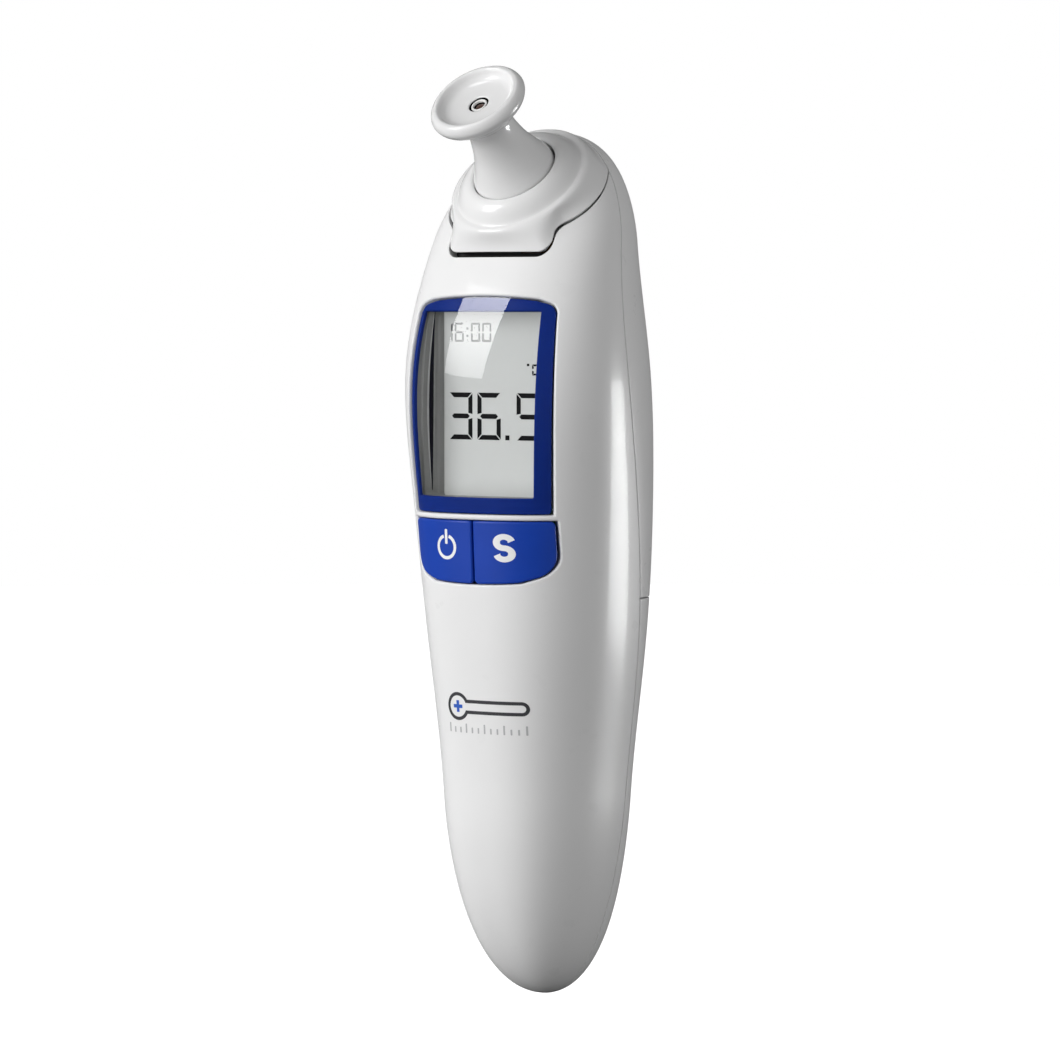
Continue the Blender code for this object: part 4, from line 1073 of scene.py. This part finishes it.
def make_slits():
    """Lens-shaped dark slit and its light lip on each side wall of the display's well."""
    middle, reach = 39.0, 14.6
    share = np.linspace(-1.0, 1.0, 33)
    z = middle + reach * share
    # the slit is a painted shade of the gap behind the bezel
    for name, wide, proud, material in (("lip", 0.13, 0.05, RIB_GREY), ("slit", 0.07, 0.1, SLIT_PAINTED_SHADE)):
        for side, place in ((-1, "left"), (1, "right")):
            spread = wide * (1 - share ** 2) + 0.01
            rows = []
            for part, lift in ((-1, proud), (1, proud), (1, -0.1), (-1, -0.1)):
                x, y = well_wall(side, SLIT_PART + part * spread, z)
                rows.append(np.stack([x - side * lift, y, z], -1))
            verts = np.stack(rows, 1).reshape(-1, 3)
            faces = []
            for k in range(len(z) - 1):
                for i in range(4):
                    j = (i + 1) % 4
                    quad = (4 * k + i, 4 * k + j, 4 * k + 4 + j, 4 * k + 4 + i)
                    faces.append(quad if side > 0 else quad[::-1])
            ends = (0, 1, 2, 3), tuple(4 * len(z) - 4 + i for i in (3, 2, 1, 0))
            faces += [end if side < 0 else end[::-1] for end in ends]
            make_object("display_" + name + "_" + place, verts, faces, "handle", [material])


def square(x, z, size):
    return [(x, z), (x + size, z), (x + size, z + size), (x, z + size)]


def make_reading():
    """Reading, clock and unit in the liquid crystal's segments."""
    front, back = LCD_FRONT_Y - 0.03, LCD_FRONT_Y + 0.01
    low = 32.7
    reading = [square(1.1, low, 0.8)]
    for x, lit in ((-9.9, "abcdg"), (-4.35, "acdefg"), (3.3, "abcdfg")):
        reading += seven_segments(x, low, 4.55, 7.7, 0.8, lit)
    prisms("lcd_reading", reading, front, back, "handle", INK)
    clock = [square(-6.5, z, 0.35) for z in (49.5, 50.7)]
    for x, width, lit in ((-10.75, 1.5, "bc"), (-8.8, 1.75, "acdefg"), (-5.6, 1.75, "abcdef"),
                          (-3.4, 1.75, "abcdef")):
        clock += seven_segments(x, 48.7, width, 3.1, 0.3, lit)
    prisms("lcd_clock", clock, front, back, "handle", FAINT_INK)
    unit = seven_segments(6.3, 43.3, 1.1, 1.8, 0.32, "adef")
    unit.append([(5.3, 44.8), (5.75, 44.8), (5.75, 45.2), (5.3, 45.2)])
    prisms("lcd_unit", unit, front, back, "handle", INK)


def make_symbols():
    """Power sign and capital letter printed on the keys."""
    x, z = -5.25, 15.5
    ring = stroked(arc(x, z, 1.8, 90 + 18, 360 + 90 - 18, 40), 0.25, 0.25)
    bar = rounded_box(x - 0.25, z + 0.47, x + 0.25, z + 2.9, 0.2)
    printed("power_symbol", [[ring], [bar]], "power_key", PRINT_WHITE, pitch=0.3)
    x, z, rx, rz = 5.85, 15.6, 1.28, 0.92
    upper = [(x + rx * math.cos(t), z + rz + rz * math.sin(t))
             for t in np.radians(np.linspace(12, 262, 30))]
    lower = [(2 * x - a, 2 * z - b) for a, b in upper[::-1]]
    printed("scan_symbol", [[stroked(upper + lower, 0.44, 0.62)]], "scan_key", PRINT_WHITE,
            pitch=0.3)


def make_mark():
    """Generic mark on the handle: a lying thermometer with a plus sign and a scale below."""
    bulb_x, z, bulb, tube = -4.4, -10.6, 2.3, 1.15
    end = 8.6

    def outline(shrink):
        round_bulb, half = bulb - shrink, tube - shrink
        meet = math.degrees(math.asin(half / round_bulb))
        return (arc(bulb_x, z, round_bulb, meet, 360 - meet, 30)
                + arc(end - tube, z, half, -90, 90, 12))

    plus = []
    for quarter in range(4):
        turn = math.radians(90 * quarter)
        for a, b in ((0.27, -0.27), (0.95, -0.27), (0.95, 0.27)):
            plus.append((bulb_x + a * math.cos(turn) - b * math.sin(turn),
                         z + a * math.sin(turn) + b * math.cos(turn)))
    printed("handle_mark", [[outline(0.0), outline(0.52)]], "handle", PRINT_GREY, pitch=0.5)
    printed("handle_mark_plus", [[plus]], "handle", PRINT_BLUE, pitch=0.3)
    ticks = []
    for i in range(13):
        tall = 1.5 if i % 3 == 0 else 0.9
        x = -6.4 + 1.2 * i
        ticks.append([rounded_box(x - 0.13, -14.9, x + 0.13, -14.9 + tall, 0.08)])
    printed("handle_mark_scale", ticks, "handle", PRINT_PALE, pitch=0.4)


def make_keys():
    """The two blue keys side by side in their opening."""
    rim = 0.35
    for side, name in ((-1, "power"), (1, "scan")):
        outline = one_key_outline(side, rim)
        # the keys' inner faces and walls take the blue painted shade
        key = patch(name + "_key_blue", FRONT, seen_outline(outline), name + "_key",
                    "blue_plastic", [BLUE, BLUE_PAINTED_SHADE], thickness=KEY_THICKNESS, radius=rim,
                    pitch=0.7)
        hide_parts(name + "_button")


# ---------------------------------------------------------------- cap's cone
def make_cone():
    """The cone with its dish, the tube in its middle and the window in the tube."""
    top, rim = CONE_TOP, CONE_RIM
    profile = smooth_profile([
        (1.7, top - 1.8), (1.78, top - 1.65), (1.95, top - 1.6),
        (4.6, top - 1.5), (5.5, top - 1.3), (6.1, top - 0.85), (6.5, top - 0.25),
        (6.75, top - 0.03), (rim - 1.15, top), (rim - 0.7, top - 0.12), (rim - 0.2, top - 0.7),
        (rim, top - 1.5), (rim - 0.45, top - 2.45), (rim - 1.2, top - 3.0),
        (rim - 2.2, top - 3.4), (5.6, top - 3.75), (5.4, top - 4.2), (5.0, top - 4.75),
        (4.3, top - 5.2), (4.0, top - 5.7), (3.93, top - 6.2), (3.98, 9.4), (4.2, 8.1),
        (4.75, 5.8), (5.45, 3.9), (6.15, 2.3), (6.65, 1.3), (6.88, 0.6), (6.92, 0.0),
        (6.92, 0.0), (6.92, -4.45), (6.92, -4.45), (8.5, -4.45), (8.5, -4.45), (8.5, -5.0),
        (8.5, -5.0), (6.6, -5.0), (6.6, -5.0)], 5)
    outside = len(profile)
    profile += smooth_profile([(6.1, -0.6), (5.2, 2.2), (4.3, 4.7), (3.6, 7.4), (3.2, 9.2),
                               (3.2, 9.2), (1.65, 9.6), (1.65, 9.6), (1.7, top - 1.8)], 5)
    # the cone's inner faces take the hole's painted shade
    cone = turned("forehead_cone", profile[:-1], "cap", "cap_white", [CAP_GLOSS, HOLE_PAINTED_SHADE],
                  144, outside)
    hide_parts("cap_cone")
    tube_profile = smooth_profile([(1.02, top - 2.2), (1.02, top - 2.0), (1.06, top - 1.84),
                                   (1.2, top - 1.8), (1.34, top - 1.84), (1.38, top - 2.0),
                                   (1.38, top - 2.1)], 3)
    lit = len(tube_profile) - 1
    tube_profile += [np.array(p) for p in ((1.38, 9.4), (1.02, 9.4))]
    # the tube's inner and lower faces take the hole's painted shade
    tube = turned("forehead_tube", tube_profile, "cap", "cap_white", [TUBE_GLOSS, HOLE_PAINTED_SHADE],
                  64, lit)
    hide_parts("cap_tube")
    window_profile = smooth_profile([(0.0, top - 2.2), (0.5, top - 2.23), (0.78, top - 2.32),
                                     (0.85, top - 2.45), (0.85, top - 3.0), (0.85, top - 3.0),
                                     (0.0, top - 3.0)], 4)
    window = turned("forehead_window", window_profile, "cap", "filter_dark", [SILICON], 48)
    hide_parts("cap_window")


make_front_shell()
make_rear_shell()
make_battery_cover()
make_display()
make_well()
make_slits()
make_reading()
make_keys()
make_symbols()
make_mark()
make_cap()
make_cone()


# ---------------------------------------------------------------- camera
toward = Vector((math.sin(CAMERA_TURN) * math.cos(CAMERA_RISE),
                 -math.cos(CAMERA_TURN) * math.cos(CAMERA_RISE), math.sin(CAMERA_RISE)))
right = Vector((math.cos(CAMERA_TURN), math.sin(CAMERA_TURN), 0.0))
upward = toward.cross(right)
aim = AIM_ORIGIN + right * AIM_RIGHT + upward * AIM_UP
camera = bpy.data.objects.new("camera", bpy.data.cameras.new("camera"))
camera.data.lens = CAMERA_LENS
camera.data.sensor_width = 36.0
camera.matrix_world = (Matrix.Translation((aim + toward * CAMERA_DISTANCE) * MM)
                       @ Matrix((right, upward, toward)).transposed().to_4x4())
bpy.context.scene.collection.objects.link(camera)
bpy.context.scene.camera = camera


# ---------------------------------------------------------------- floor and light
def fade_light(data, places, levels):
    """Change a softbox's brightness from its lower edge (0) to its upper edge (1)."""
    data.use_nodes = True
    nodes, links = data.node_tree.nodes, data.node_tree.links
    split = nodes.new("ShaderNodeSeparateXYZ")
    links.new(nodes.new("ShaderNodeNewGeometry").outputs["Parametric"], split.inputs["Vector"])
    level = mapped(nodes, links, split.outputs["Y"], places, levels)
    links.new(level, nodes["Emission"].inputs["Strength"])


def softbox(name, azimuth, elevation, distance, width, height, radiance,
            aim_at=(0.0, 0.0, 40.0), diffuse=True, glossy=True, fade=None):
    """Softbox in millimetres, seen from a point at an azimuth from -Y and an elevation."""
    turn, rise = math.radians(azimuth), math.radians(elevation)
    away = Vector((math.sin(turn) * math.cos(rise), -math.cos(turn) * math.cos(rise),
                   math.sin(rise)))
    data = bpy.data.lights.new(name, 'AREA')
    data.shape = 'RECTANGLE'
    data.size, data.size_y = width * MM, height * MM
    data.energy = radiance * math.pi * width * height * MM * MM
    if fade is not None:
        fade_light(data, *fade)
    light = bpy.data.objects.new(name, data)
    place = (Vector(aim_at) + away * distance) * MM
    light.matrix_world = Matrix.Translation(place) @ away.to_track_quat('Z', 'Y').to_matrix().to_4x4()
    light.visible_diffuse = diffuse
    light.visible_glossy = glossy
    light.visible_camera = False
    bpy.context.scene.collection.objects.link(light)


def make_world():
    """Pale studio seen behind the object; what lights it is brightest near the horizon."""
    world = bpy.data.worlds.new("studio")
    world.use_nodes = True
    nodes, links = world.node_tree.nodes, world.node_tree.links
    seen = nodes["Background"]
    seen.inputs["Color"].default_value = (1.0, 1.0, 1.0, 1.0)
    seen.inputs["Strength"].default_value = 1.0
    lit = nodes.new("ShaderNodeBackground")
    height = nodes.new("ShaderNodeSeparateXYZ")
    links.new(nodes.new("ShaderNodeTexCoord").outputs["Generated"], height.inputs["Vector"])
    place = mapped(nodes, links, height.outputs["Z"], (-1.0, 1.0), (0.0, 1.0))
    band = nodes.new("ShaderNodeValToRGB")
    band.color_ramp.interpolation = 'EASE'
    for _ in range(len(WORLD_BAND) - 2):
        band.color_ramp.elements.new(0.5)
    for element, (at, level) in zip(band.color_ramp.elements, WORLD_BAND):
        element.position = at
        element.color = (level, level, level, 1.0)
    links.new(place, band.inputs["Fac"])
    links.new(band.outputs["Color"], lit.inputs["Color"])
    path = nodes.new("ShaderNodeLightPath")
    mirrored_ray = path.outputs["Is Glossy Ray"]
    strength = mapped(nodes, links, mirrored_ray, (0.0, 1.0), (1.0, WORLD_MIRRORED))
    links.new(strength, lit.inputs["Strength"])
    mix = nodes.new("ShaderNodeMixShader")
    links.new(path.outputs["Is Camera Ray"], mix.inputs["Fac"])
    links.new(lit.outputs["Background"], mix.inputs[1])
    links.new(seen.outputs["Background"], mix.inputs[2])
    links.new(mix.outputs["Shader"], nodes["World Output"].inputs["Surface"])
    bpy.context.scene.world = world


def make_floor():
    """Pale floor far below the object, which is held in the air."""
    bpy.ops.mesh.primitive_circle_add(vertices=96, radius=4.0, fill_type='NGON',
                                      location=(0.0, 0.0, FLOOR_Z * MM))
    floor = bpy.context.object
    floor.name = "floor"
    material = bpy.data.materials.new("floor_pale")
    material.use_nodes = True
    shader = material.node_tree.nodes["Principled BSDF"]
    shader.inputs["Base Color"].default_value = (0.9, 0.9, 0.9, 1.0)
    shader.inputs["Roughness"].default_value = 0.9
    shader.inputs["Emission Color"].default_value = (1.0, 1.0, 1.0, 1.0)
    shader.inputs["Emission Strength"].default_value = 1.0
    floor.data.materials.append(material)
    floor.visible_diffuse = False
    floor.visible_glossy = False


make_world()
make_floor()
bpy.context.scene.view_settings.view_transform = 'Standard'
softbox("key_left", -30.0, 9.0, 900.0, 800.0, 900.0, 3.25, glossy=False)
softbox("key_high", -55.0, 42.0, 900.0, 500.0, 500.0, 1.3, glossy=False)
softbox("fill_left", -92.0, 4.0, 900.0, 700.0, 1100.0, 0.4, glossy=False)
softbox("fill_right", 58.0, 2.0, 900.0, 600.0, 900.0, 0.6, glossy=False)
softbox("window_front", -39.0, 24.5, 800.0, 235.0, 370.0, 17.0, diffuse=False,
        fade=((0.0, 1.0), (0.35, 1.0)))
softbox("bands_top", -38.0, 56.0, 800.0, 330.0, 110.0, 8.0, diffuse=False)
softbox("strip_back_right", 134.0, -6.9, 800.0, 235.0, 232.0, 30.0, aim_at=(0.0, 0.0, 20.0),
        diffuse=False, fade=((0.0, 0.2), (0.0, 1.0)))
softbox("fill_back_right", 150.0, 5.0, 900.0, 500.0, 700.0, 0.8, glossy=False)
